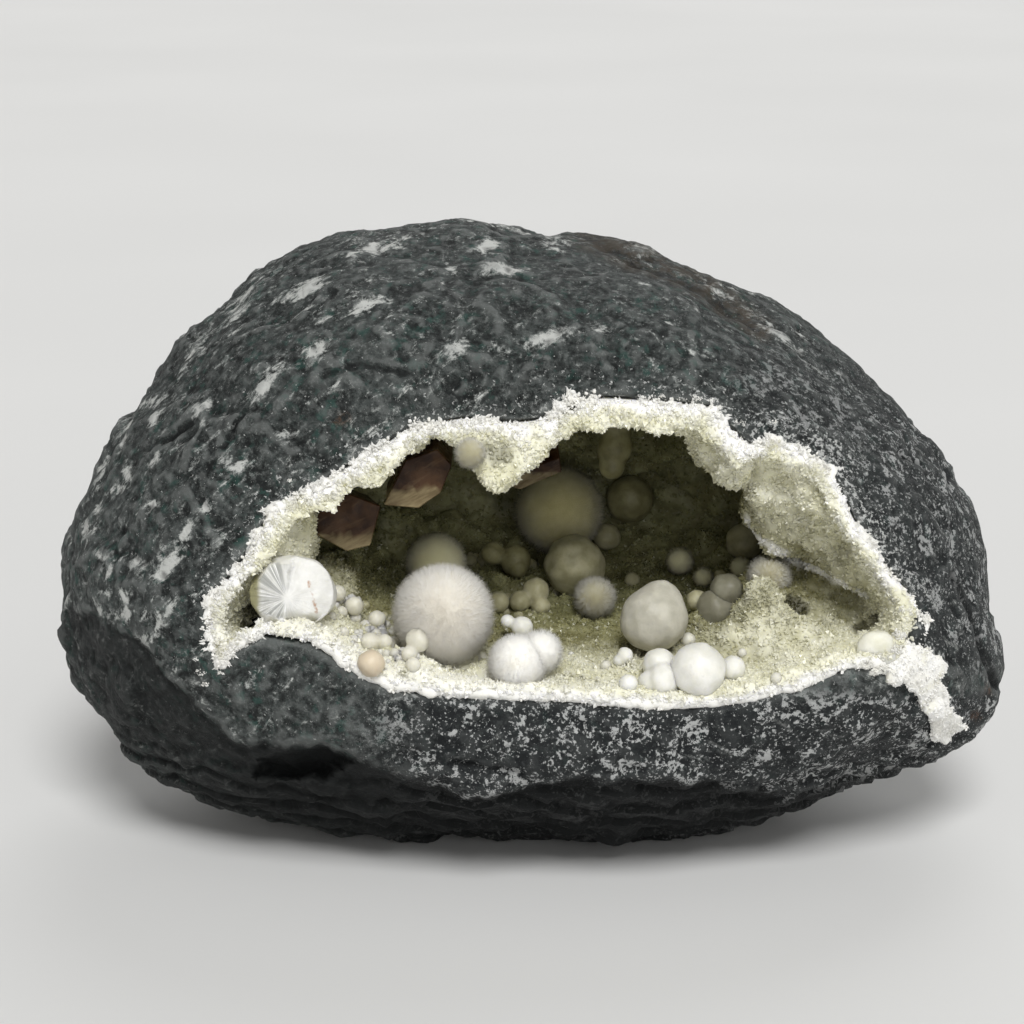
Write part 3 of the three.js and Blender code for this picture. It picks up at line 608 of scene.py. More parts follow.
class Look:
    """A material under construction, with its coordinates in millimetres."""

    def __init__(self, name):
        self.material = bpy.data.materials.new(name)
        self.material.use_nodes = True
        self.tree = self.material.node_tree
        self.shader = self.tree.nodes["Principled BSDF"]
        place = add_node(self.tree, "ShaderNodeTexCoord").outputs["Object"]
        self.place = add_node(
            self.tree, "ShaderNodeVectorMath", {0: place, "Scale": 1000.0}, operation="SCALE").outputs[0]

    def noise(self, size, detail=3.0, rough=0.55, vector=None, distortion=0.0):
        return add_node(self.tree, "ShaderNodeTexNoise", {
            "Vector": vector or self.place, "Scale": 1 / size, "Detail": detail, "Roughness": rough,
            "Distortion": distortion}).outputs["Fac"]

    def stretched(self, scale, turn):
        return add_node(self.tree, "ShaderNodeMapping", {
            "Vector": self.place, "Scale": scale, "Rotation": turn}, vector_type="TEXTURE").outputs[0]

    def span(self, value, low, high, to_low=0.0, to_high=1.0):
        return add_node(self.tree, "ShaderNodeMapRange", {
            "Value": value, "From Min": low, "From Max": high, "To Min": to_low,
            "To Max": to_high}).outputs["Result"]

    def math(self, operation, a, b=0.0):
        return add_node(self.tree, "ShaderNodeMath", {0: a, 1: b}, operation=operation).outputs[0]

    def plus(self, a, b):
        return self.math("ADD", a, b)

    def times(self, a, b):
        return self.math("MULTIPLY", a, b)

    def swing(self, value, gain):
        """How far a noise is from its middle value, times the gain."""
        return self.times(self.math("SUBTRACT", value, 0.5), gain)

    def blend(self, factor, a, b):
        return self.plus(a, self.times(factor, self.math("SUBTRACT", b, a)))

    def mix(self, factor, a, b):
        """Mixes two colours, each a socket or three numbers."""
        made = add_node(self.tree, "ShaderNodeMix", {0: factor}, data_type="RGBA")
        for index, colour in ((6, a), (7, b)):
            feed(self.tree, made.inputs[index], (*colour, 1) if isinstance(colour, tuple) else colour)
        return made.outputs[2]

    def tint(self, colour, tone, value, low, high, strength=1.0):
        """The colour turned to the tone, by up to the strength, where the value goes from low to high."""
        return self.mix(self.span(value, low, high, 0, strength), colour, tone)

    def vertex(self, name):
        return add_node(self.tree, "ShaderNodeAttribute", attribute_name=name).outputs["Fac"]

    def bump(self, height, distance_mm, strength=1.0):
        inputs = {"Height": height, "Distance": distance_mm * MM, "Strength": strength}
        return add_node(self.tree, "ShaderNodeBump", inputs).outputs[0]

    def finish(self, **inputs):
        """Links or sets the shader's inputs, whose spaces are written as underscores."""
        for key, value in inputs.items():
            feed(self.tree, self.shader.inputs[key.replace("_", " ")], value)
        return self.material


def basalt_look():
    look = Look("basalt")
    broad = look.noise(17, 4, 0.6)
    mottle = look.noise(3.4, 10, 0.76, None, 0.4)
    fine = look.noise(1.15, 8, 0.76)
    rising = look.noise(2.5, 9, 0.72, look.stretched((2.6, 1.2, 1.0), (0.0, -0.75, 0.0)), 0.6)
    falling = look.noise(2.5, 9, 0.72, look.stretched((3.2, 1.2, 1.0), (0.0, 0.70, 0.0)), 0.6)
    streaks = look.blend(look.vertex("right"), rising, falling)
    drift = look.noise(6.0, 4, 0.6)
    edge = look.vertex("edge")
    colour = look.tint((0.018, 0.0205, 0.0200), (0.066, 0.075, 0.072), mottle, 0.44, 0.56)
    colour = look.tint(colour, (0.080, 0.090, 0.086), broad, 0.46, 0.60, 0.45)
    colour = look.tint(colour, (0.24, 0.255, 0.245), fine, 0.52, 0.62, 0.50)
    colour = look.tint(colour, (0.007, 0.0085, 0.0085), fine, 0.465, 0.400, 0.70)
    teal = look.times(look.span(look.noise(2.4, 6, 0.65), 0.53, 0.60), look.span(drift, 0.44, 0.58))
    colour = look.mix(look.times(teal, 0.65), colour, (0.032, 0.085, 0.070))
    patch = look.plus(streaks, look.times(look.vertex("pale"), 0.20))
    patch = look.plus(patch, look.swing(fine, 0.50))
    colour = look.tint(colour, (0.38, 0.40, 0.38), patch, 0.570, 0.650, 0.70)
    colour = look.tint(colour, (0.68, 0.69, 0.66), patch, 0.630, 0.700, 0.90)
    # Paler on the standing edges; the creases darker, painted shade.
    colour = look.tint(colour, (0.26, 0.275, 0.265), edge, 0.03, 0.16, 0.40)
    colour = look.tint(colour, (0.008, 0.009, 0.009), edge, -0.04, -0.18, 0.60)
    fresh = look.vertex("fresh")
    colour = look.mix(look.times(fresh, 0.72), colour, (0.014, 0.016, 0.018))
    speck = look.blend(look.span(drift, 0.4, 0.6), look.noise(0.55, 4, 0.62), look.noise(1.2, 7, 0.74))
    speck = look.plus(speck, look.swing(drift, 0.45))
    speck = look.plus(speck, look.swing(mottle, 0.45))
    speck = look.times(look.span(speck, 0.545, 0.58), fresh)
    colour = look.mix(look.times(speck, 0.85), colour, (0.62, 0.63, 0.62))
    snow = look.plus(look.noise(0.8, 7, 0.72), look.times(look.vertex("snow"), 0.12))
    colour = look.tint(colour, (0.68, 0.69, 0.67), snow, 0.635, 0.66, 0.8)
    brown = look.times(look.vertex("brown"), look.span(mottle, 0.42, 0.56, 0, 0.8))
    colour = look.mix(brown, colour, (0.070, 0.054, 0.038))
    rust = look.times(look.vertex("rust"), look.span(fine, 0.46, 0.56))
    colour = look.mix(rust, colour, (0.095, 0.050, 0.027))
    # Painted shade: the underside, the undercut, the brow's hollow and the cracks go nearly black.
    colour = look.mix(look.vertex("hollow"), colour, (0.006, 0.007, 0.007))
    height = look.plus(mottle, look.times(fine, 0.45))
    return look.finish(
        Base_Color=colour, Roughness=look.span(mottle, 0.35, 0.65, 0.46, 0.80),
        Normal=look.bump(height, 1.2), Specular_IOR_Level=0.2)


def druse_look(name, gloss):
    look = Look(name)
    patch = look.noise(5.5, 4)
    fine = look.noise(0.8, 3, 0.6)
    # Pale at the mouth, middle and deep tones further in: mostly painted shade deeper in the hollow, partly
    # the crust's own olive colour.
    pale = look.tint((0.72, 0.70, 0.50), (0.86, 0.845, 0.70), patch, 0.36, 0.62)
    middle = look.tint((0.185, 0.173, 0.075), (0.32, 0.305, 0.160), patch, 0.38, 0.62)
    deep = look.tint((0.135, 0.135, 0.055), (0.34, 0.335, 0.17), patch, 0.38, 0.62)
    depth = look.vertex("deep")
    colour = look.tint(pale, middle, depth, 0.0, 0.5)
    colour = look.tint(colour, deep, depth, 0.5, 1.0)
    # Painted glints: pale flecks, fewer deeper in the hollow.
    painted_glint = look.times(look.span(fine, 0.5, 0.72, 0, 0.35), look.span(depth, 0.0, 0.8, 1.0, 0.2))
    colour = look.mix(painted_glint, colour, (0.86, 0.84, 0.68))
    # Painted shade in the low places between the crystal knobs, stronger deeper in the hollow.
    pit = look.times(look.vertex("pit"), look.span(depth, 0.0, 0.6, 0.25, 0.62))
    colour = look.mix(pit, colour, (0.20, 0.185, 0.085))
    colour = look.mix(look.vertex("white"), colour, (0.90, 0.89, 0.85))
    # Painted shade in the crust's nooks.
    colour = look.mix(look.vertex("nook"), colour, (0.050, 0.046, 0.020))
    return look.finish(
        Base_Color=colour, Roughness=look.span(fine, 0.3, 0.7, gloss, gloss + 0.2),
        Normal=look.bump(fine, 0.3, 0.7), Subsurface_Weight=0.25, Subsurface_Scale=0.001,
        Subsurface_Radius=(1.0, 0.95, 0.6), Specular_IOR_Level=0.6)


def puff_look(name, tones, core):
    look = Look(name)
    soft = look.noise(2.4, 3)
    hair = look.noise(0.28, 2)
    colour = look.tint(*tones, soft, 0.35, 0.7)
    if core:
        colour = look.tint(colour, tuple(0.92 * t for t in tones[0]), hair, 0.5, 0.7, 0.2)
        look.finish(Normal=look.bump(hair, 0.12, 0.5))
    return look.finish(
        Base_Color=colour, Roughness=look.span(hair, 0.3, 0.7, 0.75, 0.95), Subsurface_Weight=0.5,
        Subsurface_Scale=0.002, Subsurface_Radius=(1.0, 0.96, 0.85), Specular_IOR_Level=0.15,
        Sheen_Weight=0.15, Sheen_Roughness=0.45, Sheen_Tint=(1.0, 0.94, 0.80, 1))


def waxy_look(name, light, dark):
    look = Look(name)
    cloud = look.noise(2.6, 4)
    fine = look.noise(0.6, 4, 0.65)
    colour = look.tint(dark, light, cloud, 0.36, 0.64)
    colour = look.tint(colour, tuple(0.82 * tone for tone in dark), look.noise(1.3, 3), 0.60, 0.70, 0.35)
    height = look.plus(look.times(cloud, 0.5), look.times(fine, 0.35))
    return look.finish(
        Base_Color=colour, Roughness=look.span(fine, 0.3, 0.7, 0.36, 0.62),
        Normal=look.bump(height, 0.24, 0.6), Subsurface_Weight=0.85, Subsurface_Scale=0.0026,
        Subsurface_Radius=(1.0, 0.98, 0.8), Specular_IOR_Level=0.4, Coat_Weight=0.06,
        Coat_Roughness=0.35)


def calcite_look():
    look = Look("calcite")
    bands = look.noise(1.1, 5, 0.6, look.stretched((6.0, 4.5, 1.0), (0.15, -0.45, 0.0)))
    cloud = look.noise(4.5, 4)
    # Dark brown above, paler along the lower edge: partly the calcite's own colour, partly painted shade
    # above and painted light below.
    colour = look.tint((0.022, 0.0090, 0.0035), (0.066, 0.033, 0.015), cloud, 0.40, 0.62)
    colour = look.tint(colour, (0.11, 0.068, 0.036), bands, 0.54, 0.62, 0.4)
    pale = look.tint((0.11, 0.080, 0.040), (0.22, 0.175, 0.095), bands, 0.4, 0.6)
    colour = look.mix(look.vertex("low"), colour, pale)
    return look.finish(
        Base_Color=colour, Roughness=look.span(look.noise(2.0, 4), 0.3, 0.7, 0.22, 0.45),
        Normal=look.bump(bands, 0.1, 0.4), Specular_IOR_Level=0.12, IOR=1.5)


def cleaved_look():
    look = Look("cleaved_ball")
    fine = look.noise(0.5, 4)
    cloud = look.noise(2.6, 3)
    fan_x, fan_z, groove = look.vertex("fan_x"), look.vertex("fan_z"), look.vertex("groove")
    angle = look.math("ARCTAN2", fan_z, fan_x)
    turned = add_node(look.tree, "ShaderNodeCombineXYZ", {
        0: look.times(look.math("COSINE", angle), 9.0), 1: look.times(look.math("SINE", angle), 9.0),
        2: look.times(look.plus(fan_x, fan_z), 0.10)}).outputs[0]
    rays = look.noise(1.0, 4, 0.7, turned)
    wide_rays = look.noise(3.2, 2, 0.5, turned)
    colour = look.tint((0.70, 0.695, 0.66), (0.80, 0.795, 0.765), cloud, 0.35, 0.65)
    grey = look.times(groove, look.span(wide_rays, 0.42, 0.56, 0.35, 1.0))
    colour = look.mix(grey, colour, (0.40, 0.405, 0.385))
    pale_line = look.times(groove, look.span(rays, 0.50, 0.60))
    colour = look.mix(pale_line, colour, (0.84, 0.84, 0.82))
    dark_line = look.times(groove, look.span(rays, 0.44, 0.36, 0, 0.6))
    colour = look.mix(dark_line, colour, (0.24, 0.245, 0.225))
    shell = look.times(look.vertex("shell"), look.span(cloud, 0.2, 0.42))
    colour = look.mix(shell, colour, (0.30, 0.285, 0.16))
    rust = look.plus(look.vertex("rust"), look.swing(fine, 0.5))
    colour = look.tint(colour, (0.38, 0.19, 0.09), rust, 0.78, 0.98, 0.75)
    height = look.plus(look.times(fine, 0.5), look.times(rays, look.vertex("cut")))
    return look.finish(
        Base_Color=colour, Roughness=look.span(fine, 0.3, 0.7, 0.36, 0.6),
        Normal=look.bump(height, 0.25, 0.6), Subsurface_Weight=0.4, Subsurface_Scale=0.0014,
        Subsurface_Radius=(1.0, 1.0, 0.85), Specular_IOR_Level=0.45)


def white_look():
    look = Look("white_rim")
    fine = look.noise(0.8, 4, 0.65)
    patch = look.noise(4, 3)
    colour = look.tint((0.84, 0.825, 0.77), (0.92, 0.915, 0.885), patch, 0.35, 0.7)
    colour = look.tint(colour, (0.66, 0.64, 0.54), fine, 0.56, 0.75, 0.4)
    # The cream, darker olive tone on the rim's inward side: partly the crystals' own colour, partly painted
    # shade.
    inner = look.tint((0.48, 0.46, 0.26), (0.74, 0.72, 0.52), patch, 0.4, 0.6)
    colour = look.mix(look.vertex("cream"), colour, inner)
    return look.finish(
        Base_Color=colour, Roughness=look.span(fine, 0.3, 0.7, 0.45, 0.75),
        Normal=look.bump(fine, 0.3, 0.6), Subsurface_Weight=0.35, Subsurface_Scale=0.0012,
        Subsurface_Radius=(1.0, 0.98, 0.9), Specular_IOR_Level=0.45)


BASALT = basalt_look()
DRUSE = druse_look("druse", 0.45)
CRYSTAL = druse_look("druse_crystals", 0.16)
CALCITE = calcite_look()
CLEAVED = cleaved_look()
WHITE = white_look()
# The two tones of each painted shade of the puffballs: lit and shaded copies of one white material.
PUFF_SHADE_TONES = {
    "bright": ((0.89, 0.87, 0.80), (0.95, 0.935, 0.885)),
    "soft": ((0.66, 0.62, 0.535), (0.73, 0.695, 0.61)),
    "cream": ((0.92, 0.87, 0.56), (0.96, 0.92, 0.62)),
    "dim": ((0.37, 0.34, 0.22), (0.44, 0.41, 0.27)),
    "dark": ((0.51, 0.465, 0.235), (0.59, 0.545, 0.285)),
}
PUFF_SHADED_LOOKS = {name: [puff_look(name + "_core", tones, True), puff_look(name + "_fibre", tones, False)]
        for name, tones in PUFF_SHADE_TONES.items()}
# The light and the dark tone of each waxy ball's colour: peach is its own, the rest lit and shaded copies,
# painted shade.
WAXY_TONES_AND_SHADES = {
    "white": ((0.82, 0.81, 0.765), (0.71, 0.705, 0.645)),
    "milk": ((0.55, 0.53, 0.455), (0.43, 0.415, 0.35)),
    "rim": ((0.78, 0.77, 0.68), (0.66, 0.65, 0.53)),
    "grey": ((0.50, 0.475, 0.315), (0.335, 0.315, 0.19)),
    "deep": ((0.27, 0.26, 0.195), (0.20, 0.19, 0.135)),
    "dim": ((0.36, 0.34, 0.185), (0.215, 0.20, 0.10)),
    "peach": ((0.64, 0.555, 0.43), (0.56, 0.475, 0.355)),
    "soft": ((0.69, 0.67, 0.58), (0.58, 0.56, 0.475)),
}
WAXY_TONE_AND_SHADE_LOOKS = {name: waxy_look("waxy_" + name, *tones) for name, tones in WAXY_TONES_AND_SHADES.items()}


def dress(piece, material, slot, *replaced):
    piece.data.materials.clear()
    piece.data.materials.append(material)
    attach(piece, "root")
    if replaced:
        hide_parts(*replaced)
    return piece


# ---- Boulder ----

BOULDER_VOXEL = 1.0
ROCK_WALL_KEPT = 0.15  # of the faces of the hollow's rock wall, which the crust covers
SHARP_EDGE = math.radians(48)
MOUTH_STATIONS = 360


def chips(p, size, seed):
    """Height of a surface broken into tilted flakes of about the given size."""
    q = Vector(p) / size + Vector((seed, seed * 0.7, -seed))
    distances, points = noise.voronoi(q)
    tilt = noise.cell_vector(points[0] * 7.3)
    border = smoothstep(0.0, 0.16, distances[1] - distances[0])
    return (q - points[0]).dot(tilt) * size * border


def inside_walls(piece):
    """Which points of the boulder lie on the wall of its hollow, with more rock outside them."""
    tree = tree_of(piece)
    centre = to_world(np.zeros(3))
    inner = np.zeros(len(piece.data.vertices), bool)
    for i, p in enumerate(places(piece)):
        ray = Vector(p - centre).normalized()
        inner[i] = tree.ray_cast(Vector(p) + ray * 1.5, ray)[0] is not None
    return inner


def fade(region, px, py):
    """How strongly a region of the image shows at each pixel place."""
    strength, across, down = region
    return strength * smoothstep(*across, px) * smoothstep(*down, py)


class RockZones:
    """Where the boulder's points lie, and how strongly each trait of the rock shows there."""

    def __init__(self, co, inner):
        self.inner = inner
        mouth = to_mouth(co)
        self.x, self.y, self.z = mouth.T
        self.px, self.py = px, py = pixel_columns(mouth)
        self.pixel = np.stack([px, py], -1)
        mouth_line = point_tree([(x, z, 0) for x, z in closed_curve(MOUTH, MOUTH_STATIONS)])
        from_mouth = np.array([mouth_line.find((x, z, 0))[2] for x, z in bearing(mouth)])
        self.front = smoothstep(5, -12, self.y)
        self.from_mouth = np.where(self.front > 0.5, from_mouth, 30)
        sides = np.maximum(fade(FRESH_RIGHT, px, py), fade(FRESH_SHOULDER, px, py))
        sides = sides * smoothstep(*FRESH_SIDES_ABOVE, py)
        self.fresh = self.front * np.maximum(fade(FRESH_BAND, px, py), sides)
        self.strata = smoothstep(25, 16, co[:, 2]) * smoothstep(20, -20, self.y)
        self.rugged = most(self.fresh, 0.8 * smoothstep(-45, -75, self.x), self.strata)
        self.crack = np.zeros(len(co))
        for ax, ay, bx, by, wide, deep in CRACKS:
            off = line_distance(self.pixel, (ax, ay), (bx, by))
            self.crack = np.maximum(self.crack, deep * np.exp(-(off / wide) ** 2) * self.front)
        ragged = noise_over(co, 6) + 0.5 * noise_over(co, 2.5)
        hole_x, hole_y, half_x, half_y, _ = UNDER_HOLLOW
        off = np.hypot((px - hole_x) / half_x, (py - hole_y) / half_y) + 0.6 * ragged
        self.hole = smoothstep(1.3, 0.6, off) * self.front
        line = np.interp(px, *np.transpose(UNDERCUT))
        self.undercut = smoothstep(-3, 5, py - line + 9 * ragged) * smoothstep(10, -25, self.y)


def rock_relief(p, rugged, strata):
    """How far the rock stands out at a point: flakes, ridges, pits and, low down, layers."""
    q = Vector(p)
    flakes = (0.045 * chips(p, 34, 2.2) + 0.085 * chips(p, 17, 1.3)
              + 0.10 * chips(p, 6.5, 4.1) * (0.6 + 0.6 * rugged))
    ridge = 0.7 * (0.22 - abs(noise.noise(q / 8 + Vector((3, 1, 7)))))
    rough = 0.42 * noise.fractal(q / 10, 0.9, 2.1, 5) + 0.30 * noise.noise(q / 2.2) + rugged * ridge
    pitted = -0.30 * smoothstep(0.30, 0.6, noise.noise(q / 3.4 + Vector((9, 4, 2))))
    layer = 0.0
    if strata > 0:
        height = (p[2] + 2.6 * noise.noise(q / 17) + 1.2 * noise.noise(q / 6) + 0.06 * p[0]) / 4.3
        layer = strata * (smoothstep(0.1, 0.95, height % 1.0) - 0.5)
        layer += 0.10 * strata * chips(p, 9, 7.7)
    return flakes + rough + pitted + layer


def carve_rock(piece, zones, co):
    relief = np.zeros(len(co))
    calm = smoothstep(0.5, 7, zones.from_mouth)
    for i in np.nonzero(~zones.inner)[0]:
        height = rock_relief(co[i], zones.rugged[i], zones.strata[i])
        relief[i] = (0.3 + 0.7 * calm[i]) * (height - zones.crack[i])
    co = co + normals(piece) * relief[:, None]
    co[:, 2] = np.maximum(co[:, 2], 0.0)
    recess = np.maximum(zones.hole * UNDER_HOLLOW[-1], zones.undercut * UNDERCUT_DEPTH) * ~zones.inner
    co += INTO_ROCK[None] * recess[:, None]
    set_places(piece, co)
    return co


def pale_marks(zones, co):
    """The pale patches of the front and the blots of the back."""
    pale = np.zeros(len(co))
    for px, py, long, wide, slope, strength in PALE_PATCHES:
        a = math.radians(slope)
        dx, dy = zones.px - px, py - zones.py
        along = dx * math.cos(a) + dy * math.sin(a)
        across = dy * math.cos(a) - dx * math.sin(a)
        near = np.exp(-((along / long) ** 2 + (across / wide) ** 2))
        pale = np.maximum(pale, strength * near * zones.front * 1.25)
    blots = noise_over(co, 9, (4, 1, 6))
    return np.maximum(pale, 0.9 * smoothstep(0.28, 0.55, blots) * (1 - zones.front))


def rust_marks(zones):
    rust = np.zeros(len(zones.px))
    for px, py, radius in RUST_SPOTS:
        near = np.hypot(zones.px - px, zones.py - py)
        rust = np.maximum(rust, smoothstep(radius * 1.4, radius * 0.5, near) * zones.front)
    return rust


def painted_shade_marks(zones, co):
    """Painted shade: the underside, the undercut, the hollow under the brow and the cracks, darkened where
    shade falls.
    """
    below = 0.95 * smoothstep(20, 11, co[:, 2]) * smoothstep(10, -20, zones.y)
    under = (0.75 + 0.18 * smoothstep(*UNDERCUT_DARKENS, zones.px)) * zones.undercut
    return most(zones.hole, below, under, smoothstep(0.4, 1.2, zones.crack) * 0.7)


def make_boulder():
    piece = copy_of_node("basalt_boulder", "basalt_rock")
    crease_sharp_edges(piece, SHARP_EDGE)
    apply_modifier(piece, "SUBSURF", levels=1, render_levels=1)
    remesh(piece, BOULDER_VOXEL, 2)
    thin_out(piece, inside_walls(piece), ROCK_WALL_KEPT)
    zones = RockZones(places(piece), inside_walls(piece))
    co = carve_rock(piece, zones, places(piece))
    brown = smoothstep(18, 5, path_distance(zones.pixel, BROWN_LINE)) * smoothstep(20, -10, zones.y)
    snow = smoothstep(9, 0.5, zones.from_mouth) * smoothstep(-16, -8, zones.z)
    # The hollow attribute is painted shade under the rock and in its recesses.
    attributes(
        piece, edge=convexity(piece, 2), right=smoothstep(-20, 30, zones.x), brown=brown,
        snow=snow * (0.55 + 0.45 * smoothstep(20, 50, zones.x)), pale=pale_marks(zones, co),
        rust=rust_marks(zones), fresh=np.where(zones.inner, 0, zones.fresh),
        hollow=painted_shade_marks(zones, co))
    shade_smooth(piece)
    return dress(piece, BASALT, "basalt", "basalt_boulder")


boulder = make_boulder()
boulder_tree = tree_of(boulder)


# ---- The line of the rim ----

RIM_STATIONS = 700
RIM_SEARCH = (0.9, 1.6, 2.4, 3.4)  # mm out from the mouth's line at which the rock is looked for
RIM_FRONT = -25  # a place found in front of this depth is on the rock's front, and ends the search
RIM_SMOOTHING = 5  # stations on either side over which the depth is evened out


def rim_places():
    """The mouth's line in bearings, the way out of it, and the depth of the rock beside it."""
    curve = closed_curve(MOUTH, RIM_STATIONS)
    ahead = np.roll(curve, -1, axis=0) - np.roll(curve, 1, axis=0)
    outward = unit_rows(np.stack([ahead[:, 1], -ahead[:, 0]], -1))
    depth = np.zeros(len(curve))
    for i, (point, way) in enumerate(zip(curve, outward)):
        for out in RIM_SEARCH:
            hit = cast(boulder_tree, *(point + way * out))
            depth[i] = to_mouth(hit[0])[1] if hit is not None else depth[i - 1]
            if depth[i] < RIM_FRONT:
                break
    shifts = range(-RIM_SMOOTHING, RIM_SMOOTHING + 1)
    return curve, outward, np.median([np.roll(depth, shift) for shift in shifts], axis=0)


def rim_share():
    """Along the rim: how coarse its crystals are, 1 at the top and left, little along the bottom."""
    x, z = rim_curve.T
    top = smoothstep(-14, -4, z) * smoothstep(56, 44, x)
    right = 0.6 * smoothstep(44, 54, x) * smoothstep(-22, -16, z)
    left = 0.85 * smoothstep(-46, -52, x)
    return most(top, right, left, 0.12)


rim_curve, rim_outward, rim_depth = rim_places()
rim_tree = point_tree(to_world(sight(*rim_curve.T, rim_depth).T))
coarse = rim_share()


# ---- Druse crust ----

CRUST_VOXEL = 0.92
CRUST_BACK_KEPT = 0.12  # of the faces that lie against the rock
CUT_BACK_FROM = -34  # depth in mm in front of which nothing is cut back


def open_to_air(piece):
    """Which points of the crust have no rock close in front of them."""
    return np.array([
        boulder_tree.ray_cast(Vector(p + n * 0.05), Vector(n), 2.5)[0] is None
        for p, n in zip(places(piece), normals(piece))])


def crust_lumps(co, tree):
    """The crust's bumps and nooks, as a height in mm."""
    relief = np.zeros(len(co))
    for middle, radius, height in spots(tree, CRUST_BUMPS):
        off = np.linalg.norm(co - middle, axis=1) / radius
        relief = np.maximum(relief, 1.4 * height * np.sqrt(np.clip(1 - off ** 2, 0, 1)))
    for middle, radius, depth, _ in spots(tree, NOOKS):
        off = np.linalg.norm(co - middle, axis=1) / radius
        relief = relief - depth * smoothstep(1.2, 0.3, off)
    return relief


def crust_grain(co, facing):
    """The crust's crystal knobs, coarser deep in the hollow, as a height in mm."""
    grain = np.zeros(len(co))
    lumpy = 0.75 + 1.35 * smoothstep(-14, 8, to_mouth(co)[:, 1])
    for i in np.nonzero(facing)[0]:
        q = Vector(co[i])
        lump = 0.5 - noise.voronoi(q / 4.6 + Vector((0.3, 0.1, 0.7)))[0][0]
        small = 0.45 - noise.voronoi(q / 1.9)[0][0]
        grain[i] = lumpy[i] * (1.1 * lump + 0.6 * small) + 0.5 * noise.noise(q / 1.3)
    return grain


def cut_back(mouth, facing):
    """Pushes the crust away from the eye where balls in it show."""
    px, py = pixel_columns(mouth)
    way = (mouth - EYE) / (mouth - EYE)[:, 1:2]
    for spot_x, spot_y, radius, depth in CUT_BACKS:
        off = np.hypot(px - spot_x, py - spot_y) / radius
        push = np.clip(depth - mouth[:, 1], 0, None) * smoothstep(1.2, 0.9, off)
        mouth = mouth + way * np.where(facing & (mouth[:, 1] > CUT_BACK_FROM), push, 0)[:, None]
    return mouth


def make_crust():
    piece = copy_of_node("druse_crust", "druse_crust_skin")
    remesh(piece, CRUST_VOXEL, 4)
    thin_out(piece, ~open_to_air(piece), CRUST_BACK_KEPT)
    facing = open_to_air(piece)
    co = places(piece)
    grain = crust_grain(co, facing)
    relief = np.where(facing, crust_lumps(co, tree_of(piece)) + grain, 0)
    co = co + normals(piece) * relief[:, None]
    set_places(piece, to_world(cut_back(to_mouth(co), facing)))
    # Painted shade in the low places between the crust's knobs.
    pit = smoothstep(0.25, -0.65, grain)
    attributes(piece, pit=np.where(facing, pit, 0))
    return piece, facing, pit


def along(path, steps):
    """Places along a line of the image, some on each stretch."""
    for (ax, ay), (bx, by) in zip(path[:-1], path[1:]):
        for t in np.linspace(0, 1, steps):
            yield ax + (bx - ax) * t, ay + (by - ay) * t


crust, crust_open, crust_pit = make_crust()
crust_tree = tree_of(crust)
nook_spots = [(middle, radius, tone) for middle, radius, _, tone in spots(crust_tree, NOOKS)]
ledge_tree = point_tree([spot[0] for spot in spots(crust_tree, along(WHITE_LEDGE, 8))])


def colour_druse(piece, at, points_each=1):
    """Sets the druse's painted shade, by depth in the hollow and in its nooks, and how white it is at each
    place, repeated over its points.
    """
    mouth = to_mouth(at)
    nearest = [rim_tree.find(Vector(p)) for p in at]
    off = np.array([found[2] for found in nearest])
    share = coarse[[found[1] for found in nearest]]
    ledge = np.array([ledge_tree.find(Vector(p))[2] for p in at])
    wander = noise_over(at, 2.2)
    rim = smoothstep(2.4 + 0.9 * share, 1.2 + 0.6 * share, off + 0.9 * wander)
    # Whiter on the floor just inside the lower lip: partly the crust's own white, partly painted light on
    # the front of the floor.
    lip = smoothstep(9, 2, off) * smoothstep(-12, -18, mouth[:, 2]) * smoothstep(25, -10, mouth[:, 0])
    white = most(rim, 0.9 * smoothstep(1.6, 0.6, ledge + 0.5 * wander), 0.55 * lip)
    # How deep in the hollow: the druse darkens with it, mostly painted shade.
    deep = smoothstep(-44, 4, mouth[:, 1] + 4 * wander)
    # Painted shade in the nooks.
    nook = np.zeros(len(at))
    for middle, radius, tone in nook_spots:
        away = np.linalg.norm(at - middle, axis=1) / radius
        nook = np.maximum(nook, tone * smoothstep(1.25, 0.55, away + 0.25 * wander))
    attributes(piece, points_each, nook=nook, white=white * (1 - nook), deep=deep)


colour_druse(crust, places(crust))
shade_smooth(crust)
dress(crust, DRUSE, "druse", "druse_crust")
GRAIN_COUNT = 17500
SPIKE_COUNT = 13000
GRAIN_SIZE = 0.36
UNSEEN_SHARE = 0.22  # how many crystals grow where the mouth doesn't show them, against where it does
FLOOR_BELOW = -8  # the height in the mouth frame that parts the floor's grains from the roof's


def in_sight(piece):
    """Which points of the crust are seen through the mouth."""
    eye = Vector(to_world(EYE))
    seen = np.zeros(len(piece.data.vertices), bool)
    for i, (p, n) in enumerate(zip(places(piece), normals(piece))):
        start = Vector(p + 0.2 * n)
        way = (eye - start).normalized()
        seen[i] = all(tree.ray_cast(start, way)[0] is None for tree in (boulder_tree, crust_tree))
    return seen


def make_druse_grains(weight):
    """The sugar of small crystals over the crust."""
    at, normal, pit = sample_faces(crust, GRAIN_COUNT, weight, crust_pit)
    sizes = np.clip(GRAIN_SIZE * RANDOM.gamma(7.0, 1 / 7, GRAIN_COUNT), 0.18, 0.62)
    at = at + normal * (0.25 * sizes)[:, None]
    low = to_mouth(at)[:, 2] < FLOOR_BELOW
    for name, chosen in (("druse_grains_floor", low), ("druse_grains_roof", ~low)):
        piece = object_from(name, *grains(at[chosen], sizes[chosen]))
        colour_druse(piece, at[chosen], GRAIN_POINTS)
        # The grains carry a weaker share of the painted shade between the knobs.
        attributes(piece, GRAIN_POINTS, pit=0.45 * pit[chosen])
        dress(piece, CRYSTAL, "druse")


